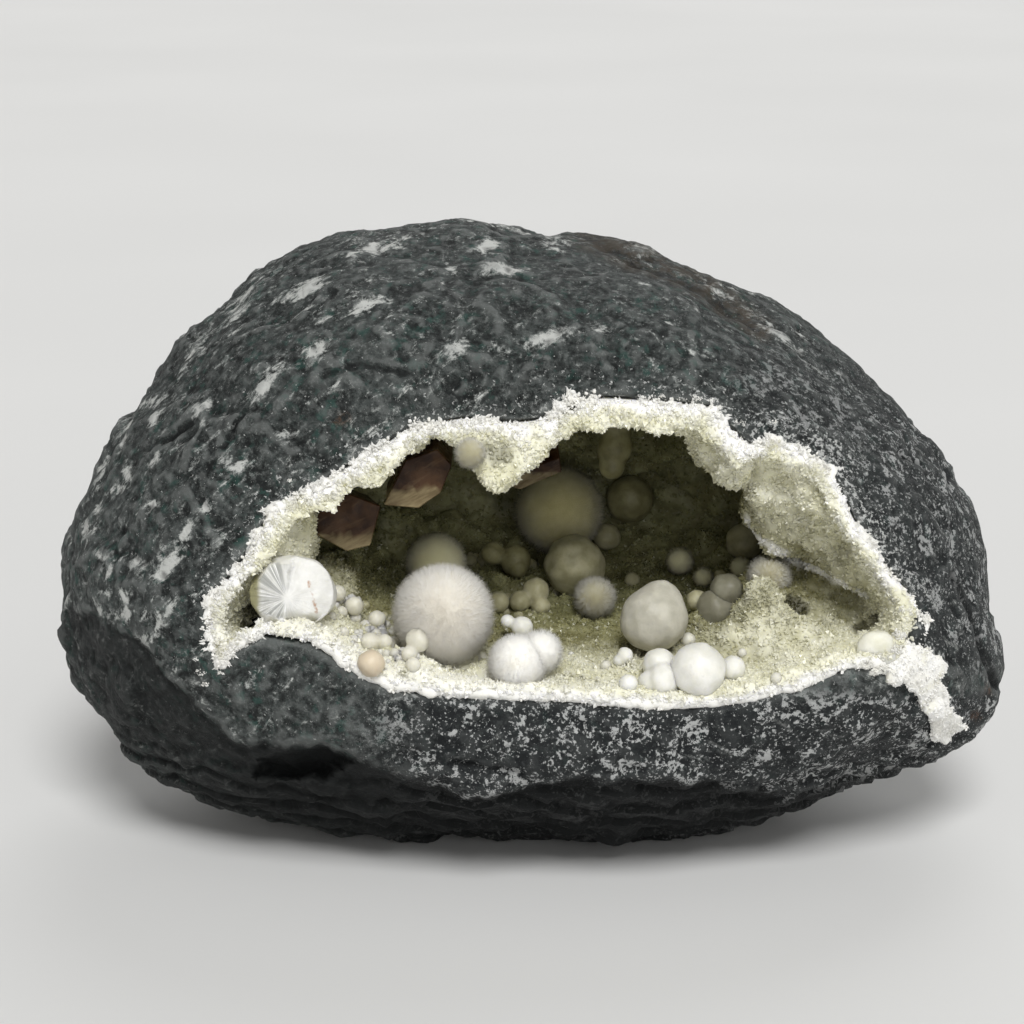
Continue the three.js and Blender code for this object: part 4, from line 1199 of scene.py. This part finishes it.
def make_druse_points(weight):
    """Pointed crystals over the crust, and tufts of longer ones."""
    at, normal, pit = sample_faces(crust, SPIKE_COUNT, weight, crust_pit)
    lean = normal + RANDOM.normal(scale=0.45, size=at.shape)
    widths, heights = RANDOM.uniform(0.55, 1.0, SPIKE_COUNT), RANDOM.uniform(0.30, 0.75, SPIKE_COUNT)
    for px, py, spread, count in TUFTS:
        places_px = RANDOM.normal(scale=0.45 * spread, size=(count, 2)) + (px, py)
        hits = [cast_pixel(crust_tree, x, y) for x, y in places_px]
        hits = [hit for hit in hits if hit is not None]
        ways = np.array([hit[1] for hit in hits]) + RANDOM.normal(scale=0.35, size=(len(hits), 3))
        at = np.append(at, [hit[0] for hit in hits], axis=0)
        lean = np.append(lean, ways, axis=0)
        widths = np.append(widths, RANDOM.uniform(0.5, 0.9, len(hits)))
        heights = np.append(heights, RANDOM.uniform(0.5, 1.2, len(hits)))
        pit = np.append(pit, np.zeros(len(hits)))
    piece = object_from("druse_points", *spikes(at, lean, widths, heights, 0.35))
    colour_druse(piece, at, SPIKE_POINTS)
    # The points carry a weaker share of the painted shade between the knobs.
    attributes(piece, SPIKE_POINTS, pit=0.25 * pit)
    dress(piece, CRYSTAL, "druse")


seen_share = 1.0 - 0.45 * smoothstep(-15, 20, to_mouth(places(crust))[:, 1])
seen_share *= np.where(in_sight(crust), 1.0, UNSEEN_SHARE)
make_druse_grains(crust_open * seen_share)
make_druse_points(crust_open * seen_share)


# ---- White broken rim ----

TUBE_SIDES = 10
TUBE_HEIGHT = 1.1
RIM_VOXEL = 0.40
rim_wave = flat_noise(rim_curve, 3.4, 5.0) + 0.6 * flat_noise(rim_curve, 1.4, 1.0)
rim_slow = flat_noise(rim_curve, 7, 2.0)
rim_right = smoothstep(44, 54, rim_curve[:, 0]) * smoothstep(-24, -18, rim_curve[:, 1])
rim_half = 1.10 + 0.1 * coarse - 0.30 * rim_right + (0.15 + 0.25 * coarse) * rim_slow
rim_middle = -rim_half + 0.25 + (0.6 + 1.7 * coarse) * rim_wave
rim_crest = rim_depth + 0.45 + 0.9 * coarse * rim_slow


def rim_offset(at):
    """The nearest station of the rim, and how far out of the mouth's line each place is seen."""
    station = np.array([rim_tree.find(Vector(p))[1] for p in at])
    seen = bearing(to_mouth(at))
    return station, ((seen - rim_curve[station]) * rim_outward[station]).sum(axis=1)


def make_rim_base():
    """The rim's chalky body: a thick cord along the mouth, from the rock over on to the crust."""
    rows = []
    for k in range(TUBE_SIDES):
        angle = 2 * math.pi * k / TUBE_SIDES
        at = rim_curve + rim_outward * (rim_middle + rim_half * math.cos(angle))[:, None]
        rows.append(sight(*at.T, rim_crest + TUBE_HEIGHT * math.sin(angle)).T)
    faces = []
    for k in range(TUBE_SIDES):
        here, beside = k * RIM_STATIONS, (k + 1) % TUBE_SIDES * RIM_STATIONS
        for i in range(RIM_STATIONS):
            after = (i + 1) % RIM_STATIONS
            faces.append((here + i, here + after, beside + after, beside + i))
    piece = object_from("white_rim", to_world(np.concatenate(rows)), faces)
    remesh(piece, RIM_VOXEL, 2)
    co = places(piece)
    share = coarse[rim_offset(co)[0]]
    relief = wrinkles(co, 0.36, 1.0, 0.3, 1.8) * (0.65 + 0.7 * share)
    set_places(piece, co + normals(piece) * relief[:, None])
    inward = rim_offset(co)[1]
    # Cream on the inward side: partly the crystals' own colour, partly painted shade.
    attributes(piece, cream=smoothstep(-1.6, -2.6, inward) * smoothstep(0.1, 0.5, share))
    shade_smooth(piece)
    return dress(piece, WHITE, "druse")


def white_piece(name, shape, cream, points_each):
    """A piece of loose white crystals, each as cream as is given."""
    piece = object_from(name, *shape)
    attributes(piece, points_each, cream=cream)
    dress(piece, WHITE, "druse")


rim_base = make_rim_base()
front_tree = tree_of(boulder, crust, rim_base)
CLUMP_STEP = 3  # stations between the clumps of the rim
INNER_CLUMPS = 330
CLUMP_BACK = 6  # mm behind the rim's line beyond which no clump grows
FINGERS = 6000
ROSETTES = 1000


def rim_clumps():
    """Clumps out over the rock: each crystal's place, way, radius, stretch and how cream it is, creamer
    further in, partly painted shade.
    """
    for start in range(0, RIM_STATIONS, CLUMP_STEP):
        i = min(start + RANDOM.integers(0, CLUMP_STEP), RIM_STATIONS - 1)
        if RANDOM.random() > 0.25 + 0.75 * coarse[i]:
            continue
        size = RANDOM.uniform(0.5, 1.8) * (0.4 + 0.6 * coarse[i])
        shift = RANDOM.uniform(-2.2, 0.1) * (0.3 + 0.7 * coarse[i])
        middle = sight(*(rim_curve[i] + rim_outward[i] * shift), rim_depth[i] - 0.25)
        x, z = rim_outward[i]
        for _ in range(int(3 + 6 * size)):
            way = (np.array([x, 0, z]) * RANDOM.uniform(-0.9, 0.9)
                   + np.array([-z, 0, x]) * RANDOM.normal(scale=0.6)
                   + np.array([0, -RANDOM.uniform(0.0, 1.0), 0]))
            way /= np.linalg.norm(way)
            at = middle + way * size * RANDOM.uniform(0.35, 1.0)
            radius, stretch = RANDOM.uniform(0.19, 0.36), RANDOM.uniform(1.0, 1.9)
            yield at, way, radius, stretch, RANDOM.uniform(0, 0.12) + 0.35 * smoothstep(-1.4, -2.2, shift)


def inner_clumps():
    """The same in over the hollow."""
    for _ in range(INNER_CLUMPS):
        i = RANDOM.choice(RIM_STATIONS, p=coarse / coarse.sum())
        inwards = RANDOM.uniform(1.3, 3.4)
        middle = rim_curve[i] - rim_outward[i] * inwards
        for _ in range(RANDOM.integers(3, 8)):
            hit = cast(front_tree, *(middle + RANDOM.normal(scale=0.4, size=2)))
            if hit is None or to_mouth(hit[0])[1] > rim_depth[i] + CLUMP_BACK:
                continue
            way = np.array([-rim_outward[i][0], 0, -rim_outward[i][1]]) + RANDOM.normal(scale=0.4, size=3)
            way[1] = -abs(way[1]) - 0.2
            radius, stretch = RANDOM.uniform(0.18, 0.34), RANDOM.uniform(1.1, 2.4)
            # Creamer further in: partly painted shade.
            cream = RANDOM.uniform(0.2, 0.6) + 0.4 * smoothstep(2.0, 3.6, inwards)
            yield to_mouth(hit[0]), way, radius, stretch, cream


def make_rim_crystals():
    """Clumps of rounded crystals along the rim: white ones outwards, cream ones in over the hollow, their
    cream partly painted shade.
    """
    columns = zip(*rim_clumps(), *inner_clumps())
    at, way, radii, stretch, cream = (np.array(column) for column in columns)
    shape = knobs(to_world(at), turn_to_world(way), radii, stretch, UNIT[1])
    white_piece("white_rim_crystals", shape, cream, len(UNIT[1][0]))


def make_rim_fingers():
    """Fine blunt crystals that stand out all over the rim."""
    chance = 0.22 + coarse
    member = RANDOM.integers(0, ROSETTES, FINGERS)
    station = RANDOM.choice(RIM_STATIONS, size=ROSETTES, p=chance / chance.sum())[member]
    slide = RANDOM.random(ROSETTES)[member]
    after = (station + 1) % RIM_STATIONS
    turn = np.radians(RANDOM.uniform(-15, 175, ROSETTES)[member] + RANDOM.normal(scale=9, size=FINGERS))
    out = rim_middle[station] + rim_half[station] * np.cos(turn)
    at = rim_curve[station] + (rim_curve[after] - rim_curve[station]) * slide[:, None]
    at = at + rim_outward[station] * out[:, None]
    points = sight(*at.T, rim_crest[station] - TUBE_HEIGHT * np.sin(turn)).T
    points = points + RANDOM.normal(scale=0.16, size=points.shape)
    way = rim_outward[station] * np.cos(turn)[:, None]
    way = np.stack([way[:, 0], -np.sin(turn), way[:, 1]], -1) + RANDOM.normal(scale=0.6, size=(FINGERS, 3))
    radii = RANDOM.uniform(0.16, 0.33, FINGERS) * (0.45 + 0.55 * coarse)[station]
    stretch = RANDOM.uniform(1.5, 3.6, FINGERS)
    shape = knobs(to_world(points), turn_to_world(way), radii, stretch, (OCTAHEDRON, OCTAHEDRON_FACES))
    # Creamer on the inward side: partly painted shade.
    cream = 0.5 * smoothstep(-1.6, -2.8, out) * coarse[station]
    white_piece("white_rim_fingers", shape, cream, GRAIN_POINTS)


make_rim_crystals()
make_rim_fingers()


# ---- White vein and flecks ----

VEIN_STEP = 1.6  # pixels between the points of its sheet
VEIN_REACH = (0, 2.2, -2.2)  # pixels round a point of which one has to lie in the outline
VEIN_MARGIN = 4  # pixels
VEIN_BACK = -18  # depth in mm behind which there is no vein
VEIN_THICKNESS = 0.9
VEIN_VOXEL = 0.34
VEIN_GRAINS = 1900
FLECK_GRAINS = 11  # for each pixel of a fleck's or heap's radius
FLECK_SUNK, HEAP_HEIGHT = -0.18, 1.6


def inside(polygon, x, y):
    odd = False
    for (ax, ay), (bx, by) in zip(polygon, polygon[1:] + polygon[:1]):
        if (ay > y) != (by > y) and x < (bx - ax) * (y - ay) / (by - ay) + ax:
            odd = not odd
    return odd


def on_vein(x, y):
    wobble = 3.2 * noise.noise(Vector((x / 5, y / 5, 2)))
    wobble += 1.6 * noise.noise(Vector((x / 2, y / 2, 5)))
    return any(inside(VEIN, x + wobble + dx, y - wobble + dy) for dx in VEIN_REACH for dy in VEIN_REACH)


def vein_sheet():
    """The points and faces of a sheet on the rock, as far as the vein's ragged outline reaches."""
    low, high = np.min(VEIN, axis=0) - VEIN_MARGIN, np.max(VEIN, axis=0) + VEIN_MARGIN
    columns, rows = ((high - low) / VEIN_STEP).astype(int)
    number, verts = {}, []
    for row in range(rows):
        for column in range(columns):
            x, y = low + VEIN_STEP * np.array([column, row])
            hit = cast_pixel(boulder_tree, x, y) if on_vein(x, y) else None
            if hit is not None and to_mouth(hit[0])[1] <= VEIN_BACK:
                number[row, column] = len(verts)
                verts.append(hit[0] + hit[1] * (0.15 + 0.25 * noise.noise(Vector((x / 6, y / 6, 8)))))
    faces = []
    for row, column in number:
        corners = [(row, column), (row, column + 1), (row + 1, column + 1), (row + 1, column)]
        if all(corner in number for corner in corners):
            faces.append([number[corner] for corner in corners[::-1]])
    return np.array(verts), faces


def make_vein():
    """A thin wrinkled sheet of white mineral that follows the rock, with grains on it."""
    piece = object_from("white_vein", *vein_sheet())
    apply_modifier(piece, "SOLIDIFY", thickness=VEIN_THICKNESS * MM, offset=0.0)
    remesh(piece, VEIN_VOXEL, 1)
    co = places(piece)
    set_places(piece, co + normals(piece) * wrinkles(co, 0.26, 0.9, 0.12, 2.5)[:, None])
    attributes(piece, cream=0.3 * smoothstep(0.1, 0.4, noise_over(co, 4)))
    shade_smooth(piece)
    dress(piece, WHITE, "druse")
    even = np.ones(len(co))
    at, normal, _ = sample_faces(piece, VEIN_GRAINS, even, even)
    seen = normal @ INTO_ROCK < 0.3
    at = at + RANDOM.normal(scale=0.12, size=at.shape)
    shape = grains(at[seen], RANDOM.uniform(0.15, 0.36, VEIN_GRAINS)[seen])
    white_piece("white_vein_grains", shape, 0.0, len(shape[0]))


def make_flecks():
    """White flecks on the rock round the rim, heaps on the rim and rubble on the hollow's floor."""
    at, sizes, cream = [], [], []
    kinds = ((FLECKS, boulder_tree, 0.0), (RIM_HEAPS, front_tree, 0.1), (RUBBLE, crust_tree, 0.8))
    for group, tree, tone in kinds:
        for px, py, radius in group:
            for _ in range(int(FLECK_GRAINS * radius)):
                a, r = RANDOM.uniform(0, 2 * math.pi), radius * math.sqrt(RANDOM.random())
                hit = cast_pixel(tree, px + r * math.cos(a), py + 0.6 * r * math.sin(a))
                if hit is None:
                    continue
                heap = FLECK_SUNK if tone == 0 else RANDOM.uniform(0, HEAP_HEIGHT) * (1 - r / radius)
                at.append(hit[0] + hit[1] * heap)
                sizes.append(RANDOM.uniform(0.16, 0.34))
                cream.append(tone * RANDOM.uniform(0.5, 1.0))
    white_piece("white_flecks", grains(np.array(at), np.array(sizes)), cream, GRAIN_POINTS)


make_vein()
make_flecks()


# ---- Balls ----

# Seeds of the balls' flats and waves, in runs of one for each lobe.
BALL_SEED, PUFFBALL_SEED, PEARL_SEED, BEAD_SEED, HALF_BALL_SEED, CLEAVED_SEED = 10, 50, 90, 130, 77, 5
FLATS = 26  # on each ball
FINE_FROM = 3  # mm of radius above which a ball has the finer mesh


def facet_directions(count, seed):
    return unit_rows(np.random.default_rng(seed).normal(size=(count, 3)))


def ball_verts(unit, radius, seed, facets):
    """A nearly round ball with faint flats."""
    cosine = (unit @ facet_directions(FLATS, seed).T).max(axis=1)
    flat = np.minimum(1.0, 0.95 / np.maximum(cosine, 0.5))
    wave = np.array([
        0.055 * noise.noise(Vector(u) * 1.7 + Vector((seed, 0, 0)))
        + 0.010 * noise.noise(Vector(u) * 5.1 + Vector((0, seed, 0))) for u in unit])
    return unit * (radius * (1 + facets * (flat - 1) + wave))[:, None]


def lobe_places(depth, lobes):
    """Each lobe's middle (row frame), radius and round mesh."""
    for x, z, radius, behind in lobes:
        middle = sight(x, z, depth + behind)
        radius *= 1 + middle[1] / -EYE[1]
        yield to_world(middle), radius, UNIT[4 if radius > FINE_FROM else 3]


def wrap_in_hull(piece):
    with edited(piece) as shape:
        hull = bmesh.ops.convex_hull(shape, input=shape.verts)
        inner = hull["geom_interior"] + hull["geom_unused"]
        inner = [part for part in inner if isinstance(part, bmesh.types.BMVert)]
        bmesh.ops.delete(shape, geom=inner, context="VERTS")


# Balls whose tone isn't the painted shade that follows from their depth, peach being the ball's own colour.
OTHER_TONE_AND_SHADE = {
    "ball_peach": "peach", "ball_pear": "milk", "ball_right_lower": "deep", "ball_right_upper": "deep",
    "ball_right_small": "grey", "ball_back_small": "grey", "ball_egg": "grey",
    "ball_left_row_a": "soft", "ball_left_row_b": "soft", "ball_left_row_c": "soft",
    "ball_left_cluster": "soft", "ball_left_pair": "soft",
}


def make_smooth_ball(node, depth, lobes, seed):
    facets = 1.0 if node in ("ball_faceted", "ball_pear") else 0.75
    parts, radii = [], []
    for k, (middle, radius, (unit, faces)) in enumerate(lobe_places(depth, lobes)):
        parts.append((ball_verts(unit, radius, seed + k, facets) + middle, faces))
        radii.append(radius)
    piece = object_from(node + "_skin", *joined(parts))
    if node == "ball_pear":
        wrap_in_hull(piece)
    if len(lobes) > 1:
        remesh(piece, max(min(radii) / 9, 0.24), 3)
    co = places(piece)
    frost = 0.07 * noise_over(co, 1.5) + 0.03 * noise_over(co, 0.6)
    set_places(piece, co + normals(piece) * frost[:, None])
    shade_smooth(piece)
    # Painted shade: deeper balls get darker copies of the material.
    finish = "dim" if depth > 10 else "grey" if depth > -20 else "white"
    dress(piece, WAXY_TONE_AND_SHADE_LOOKS[OTHER_TONE_AND_SHADE.get(node, finish)], "waxy_mineral", node)


for number, smooth_ball in enumerate(SMOOTH_BALLS):
    make_smooth_ball(*smooth_ball, BALL_SEED + number)


HAIRLESS_FROM = 0.55  # fibres that look further into the rock than this are never seen
CORE_SHARE = 0.925  # of the radius
ROOTS = 0.88  # how far out the fibres start, of the radius
FIBRES_A_TUFT = 12


def fuzz_ways(out, seed):
    """The way each fibre looks: most of the way from straight out to the nearest tuft's."""
    tufts = facet_directions(max(int(len(out) / FIBRES_A_TUFT), 20), seed)
    tuft_tree = point_tree(tufts)
    near = np.array([tufts[tuft_tree.find(Vector(o))[1]] for o in out])
    return out + 0.9 * (near - out) + RANDOM.normal(scale=0.13, size=out.shape)


def make_puffball(node, depth, lobes, count, finish, seed):
    parts, at, way, length, width = [], [], [], [], []
    total = sum(radius ** 2 for _, _, radius, _ in lobes)
    for k, (middle, radius, (unit, faces)) in enumerate(lobe_places(depth, lobes)):
        wave = np.array([0.02 * noise.noise(Vector(u) * 2.3 + Vector((seed, 0, 0))) for u in unit])
        parts.append((unit * (radius * (CORE_SHARE + wave))[:, None] + middle, faces))
        out = unit_rows(RANDOM.normal(size=(int(count * (radius ** 2) / total), 3)))
        out = out[out @ INTO_ROCK < HAIRLESS_FROM]
        at.append(middle + out * radius * ROOTS)
        way.append(fuzz_ways(out, seed + k))
        fuzz_length = FUZZ_LENGTH if radius > LARGE_PUFFBALL else SMALL_FUZZ_LENGTH
        length.append(radius * (0.07 + fuzz_length * RANDOM.beta(2.0, 1.7, len(out))) + 0.2)
        width.append(np.full(len(out), FIBRE_WIDTH if radius > FINE_FROM else SMALL_FIBRE_WIDTH))
    # The finish is a painted shade: a lit or shaded copy of one material, by where the ball lies.
    core = object_from(node + "_core", *joined(parts), True)
    dress(core, PUFF_SHADED_LOOKS[finish][0], "okenite_fibre", node)
    at, way, length, width = (np.concatenate(column) for column in (at, way, length, width))
    fuzz = object_from(node + "_fibres", *spikes(at, way, width, length), True)
    out = np.repeat(unit_rows(way), SPIKE_POINTS, axis=0)
    fuzz.data.normals_split_custom_set_from_vertices(out.tolist())
    dress(fuzz, PUFF_SHADED_LOOKS[finish][1], "okenite_fibre", node)


for number, puffball in enumerate(PUFFBALLS):
    make_puffball(*puffball, PUFFBALL_SEED + number)


# Deeper pearls get a darker copy of the material, painted shade.
FRONT_PEARLS = -22  # depth in mm up to which the pearls are as light as the front balls
FINE_PEARL_FROM = 4  # pixels of radius above which a pearl has the finer mesh
PEARL_SIZES = (2.6, 6.4)  # pixels of radius of those in the fields


def pearl_places():
    """Image places and radii of all the pearls, in pixels: the listed ones and the fields of small ones."""
    yield from PEARLS
    for px, py, half_x, half_y, count in PEARL_FIELDS:
        for _ in range(count):
            x, y = RANDOM.normal(scale=0.5, size=2)
            yield px + half_x * x, py + half_y * y, RANDOM.uniform(*PEARL_SIZES)


def make_pearls():
    groups = {"pearls": [], "pearls_deep": []}
    for k, (px, py, radius_px) in enumerate(pearl_places()):
        hit = cast_pixel(crust_tree, px, py)
        if hit is None:
            continue
        depth = to_mouth(hit[0])[1]
        radius = radius_px * PIXEL * (1 + depth / -EYE[1])
        middle = hit[0] + turn_to_world((0, -0.25 * radius, 0))
        unit, faces = UNIT[3 if radius_px > FINE_PEARL_FROM else 2]
        group = groups["pearls" if depth < FRONT_PEARLS else "pearls_deep"]
        group.append((ball_verts(unit, radius, PEARL_SEED + k, 0.9) + middle, faces))
    # Painted shade: the deeper pearls get the darker grey copy.
    for (name, parts), finish in zip(groups.items(), ("soft", "grey")):
        dress(object_from(name, *joined(parts), True), WAXY_TONE_AND_SHADE_LOOKS[finish], "waxy_mineral")


make_pearls()


# ---- Cleaved ball, half ball, stalactite, calcite ----

CLEAVED_AT = sight(-44.6, -11.4, -40)
CLEAVED_RADIUS = 6.6
CLEAVED_HUB = (-0.7, -0.7)  # where its rays meet, off its middle
CLEAVED_RUST = [(3.0, 1.9), (3.6, -0.4), (4.3, -3.1)]  # the rusty streak, off its middle
WEDGES = 17


def cleaved_face(p, angle, spread, chip):
    """How deep the broken face lies: a dish of wedges and fibres that fan out from the hub."""
    luck = np.random.default_rng(3)
    edges = np.sort(luck.uniform(-math.pi, math.pi, WEDGES))
    level, tilt = luck.uniform(-0.5, 0.5, WEDGES), luck.uniform(-1.1, 1.1, WEDGES)
    wander = 0.16 * flat_noise(p[:, [0, 2]], 2, 1.0)
    wedge = (np.searchsorted(edges, angle + wander) - 1) % WEDGES
    within = (angle + wander - edges[wedge]) % (2 * math.pi)
    broken = smoothstep(2.0, -1.0, p[:, 0]) + 0.2
    step = (level[wedge] + tilt[wedge] * (within - 0.18)) * np.clip(spread, 0, 1) * broken
    fibre = np.array([noise.noise(Vector((11 * math.cos(a), 11 * math.sin(a), 1.2 * s)))
                      for a, s in zip(angle, spread)])
    return -5.0 + 2.3 * spread ** 2 + 1.3 * step + 0.16 * fibre * np.clip(spread, 0, 1) + 0.25 * chip


def make_cleaved_ball():
    unit, faces = UNIT[5]
    p = ball_verts(unit, 1.02 * CLEAVED_RADIUS, CLEAVED_SEED, 0.9)
    p[:, 0] *= 1.12
    fan_x, fan_z = p[:, 0] - CLEAVED_HUB[0], p[:, 2] - CLEAVED_HUB[1]
    angle, spread = np.arctan2(fan_z, fan_x), np.hypot(fan_z, fan_x) / CLEAVED_RADIUS
    chip = flat_noise(p[:, [0, 2]], 2.1, 4.0)
    face = cleaved_face(p, angle, spread, chip)
    cut = p[:, 1] < face
    p[:, 1] = np.where(cut, face, p[:, 1])
    ragged = smoothstep(-3.0, -5.0, p[:, 2] + 0.8 * chip)
    p[:, 1] += ragged * cut * (1.5 + 1.6 * chip)
    piece = object_from("ball_cleaved_skin", turn_to_world(p) + to_world(CLEAVED_AT), faces, True)
    fanned = smoothstep(2.2, -0.4, p[:, 0] + 1.2 * chip) * smoothstep(0.06, 0.24, spread)
    fanned = fanned * (0.25 + 0.75 * smoothstep(-0.25, 0.4, -np.cos(angle)))
    streak = 1 - (path_distance(p[:, [0, 2]], CLEAVED_RUST) + 0.3 * chip) / 1.5
    shell = np.maximum(smoothstep(-5.2, -6.2, p[:, 0]), 0.8 * ragged * smoothstep(0, 0.3, chip))
    attributes(
        piece, fan_x=fan_x, fan_z=fan_z, shell=shell, cut=cut * smoothstep(0.1, 0.3, spread),
        groove=np.where(cut, fanned * smoothstep(1.02, 0.92, spread), 0.0),
        rust=np.where(cut, np.clip(streak, 0, 1), 0.0))
    dress(piece, CLEAVED, "waxy_mineral", "ball_cleaved")


HALF_BALL_AT = sight(65.7, -22.5, -42)
HALF_BALL_RADIUS = 3.8
HALF_BALL_FLATNESS = 0.42
HALF_BALL_SUNK = 2.3


def make_half_ball():
    unit, faces = UNIT[4]
    p = ball_verts(unit, HALF_BALL_RADIUS, HALF_BALL_SEED, 0.9)
    p[:, 1] *= HALF_BALL_FLATNESS
    p[:, 1] += 0.1 * np.array([noise.noise(Vector((x / 0.5, z / 4, 8.0))) for x, _, z in p])
    world = turn_to_world(p + np.array([0, HALF_BALL_SUNK, 0])) + to_world(HALF_BALL_AT)
    dress(object_from("ball_half_skin", world, faces, True), WAXY_TONE_AND_SHADE_LOOKS["rim"], "waxy_mineral", "ball_half")


STALACTITE_BEADS = [(16.0, 21.5, 3.6), (16.2, 19.0, 3.1), (15.9, 16.0, 3.5), (15.4, 12.5, 2.6),
                    (16.0, 24.0, 4.4)]  # bearing and radius
STALACTITE_DEPTH = 6
STALACTITE_VOXEL = 0.5


def make_stalactite():
    unit, faces = UNIT[4]
    parts = [
        (ball_verts(unit, radius, BEAD_SEED + k, 0.5) + to_world(sight(x, z, STALACTITE_DEPTH)), faces)
        for k, (x, z, radius) in enumerate(STALACTITE_BEADS)]
    piece = object_from("stalactite_skin", *joined(parts))
    remesh(piece, STALACTITE_VOXEL, 4)
    shade_smooth(piece)
    # A dim copy of the waxy material: painted shade.
    dress(piece, WAXY_TONE_AND_SHADE_LOOKS["dim"], "waxy_mineral", "stalactite")


BLADE_BEVEL = 0.18
BLADE_EDGE = 0.9  # mm, the longest edge that isn't halved


def make_blade(node):
    piece = copy_of_node(node, node + "_skin")
    with edited(piece) as shape:
        flat = math.radians(2)
        bmesh.ops.dissolve_limit(shape, angle_limit=flat, verts=shape.verts, edges=shape.edges)
        bmesh.ops.bevel(
            shape, geom=shape.edges[:], offset=BLADE_BEVEL * MM, segments=1, affect="EDGES")
        bmesh.ops.triangulate(shape, faces=shape.faces)
        for _ in range(3):
            long_edges = [e for e in shape.edges if e.calc_length() > BLADE_EDGE * MM]
            bmesh.ops.subdivide_edges(shape, edges=long_edges, cuts=1)
            bmesh.ops.triangulate(shape, faces=shape.faces)
        shape.normal_update()
        for vert in shape.verts:
            vert.co += vert.normal * 0.09 * noise.noise(vert.co / MM / 2.6) * MM
    mouth = to_mouth(places(piece))
    low, high = mouth[:, 2].min(), mouth[:, 2].max()
    rise = (mouth[:, 2] - low) / (high - low)
    wander = 0.10 * noise_over(mouth, 3)
    # The lower edge gets the paler tone, partly painted light.
    attributes(piece, low=smoothstep(0.25, 0.22, rise + 0.6 * wander))
    dress(piece, CALCITE, "calcite", node)


make_cleaved_ball()
make_half_ball()
make_stalactite()
for blade in ("calcite_blade_left", "calcite_blade_roof", "calcite_blade_sliver"):
    make_blade(blade)


# ---- Floor, light and camera ----

FLOOR_SIZE = 14.0  # metres
# Suns: the way to each, its strength and its spread in degrees.
SUNS = {
    "key_light": ((0.08, -0.62, 0.78), 2.5, 24),
    "front_light": ((0.12, -0.95, 0.20), 0.55, 40),
    "fill_light": ((0.65, -0.55, 0.50), 0.35, 50),
    "back_light": ((0.15, 0.75, 0.65), 0.8, 40),
}
SKY_COLOUR = (1.0, 0.985, 0.96, 1)
SKY_STRENGTH = 0.20
LENS = 100.8
SENSOR = 36
CLIP = (0.01, 30)


def make_floor():
    corners = np.array([(-1, -1, 0), (1, -1, 0), (1, 1, 0), (-1, 1, 0)]) * FLOOR_SIZE / MM
    floor = object_from("floor", corners, [(0, 1, 2, 3)])
    look = Look("floor")
    tone = look.noise(300, 2)
    colour = look.tint((0.66, 0.66, 0.65), (0.69, 0.69, 0.68), tone, 0.3, 0.7)
    floor.data.materials.append(look.finish(Base_Color=colour, Roughness=0.8, Specular_IOR_Level=0.2))


def add_to_scene(name, data, towards):
    """An object that looks along a direction."""
    holder = bpy.data.objects.new(name, data)
    holder.rotation_euler = towards.to_track_quat("-Z", "Y").to_euler()
    bpy.context.scene.collection.objects.link(holder)
    return holder


def soft_sun(name, towards_light, strength, spread):
    """A wide soft light from far off, so that it is even over the floor."""
    lamp = bpy.data.lights.new(name, "SUN")
    lamp.energy = strength
    lamp.angle = math.radians(spread)
    add_to_scene(name, lamp, -Vector(towards_light))


def make_sky():
    world = bpy.data.worlds.new("studio")
    bpy.context.scene.world = world
    world.use_nodes = True
    background = world.node_tree.nodes["Background"]
    background.inputs["Color"].default_value = SKY_COLOUR
    background.inputs["Strength"].default_value = SKY_STRENGTH


def make_camera():
    lens = bpy.data.cameras.new("camera")
    lens.lens = LENS
    lens.sensor_width = SENSOR
    lens.clip_start, lens.clip_end = CLIP
    place = Vector(to_world(EYE) * MM)
    aim = Vector(to_world(np.array([EYE[0], 0, EYE[2]])) * MM)
    camera = add_to_scene("camera", lens, aim - place)
    camera.location = place
    bpy.context.scene.camera = camera


make_floor()
for sun_name, sun in SUNS.items():
    soft_sun(sun_name, *sun)
make_sky()
make_camera()
bpy.context.scene.view_settings.view_transform = "Standard"
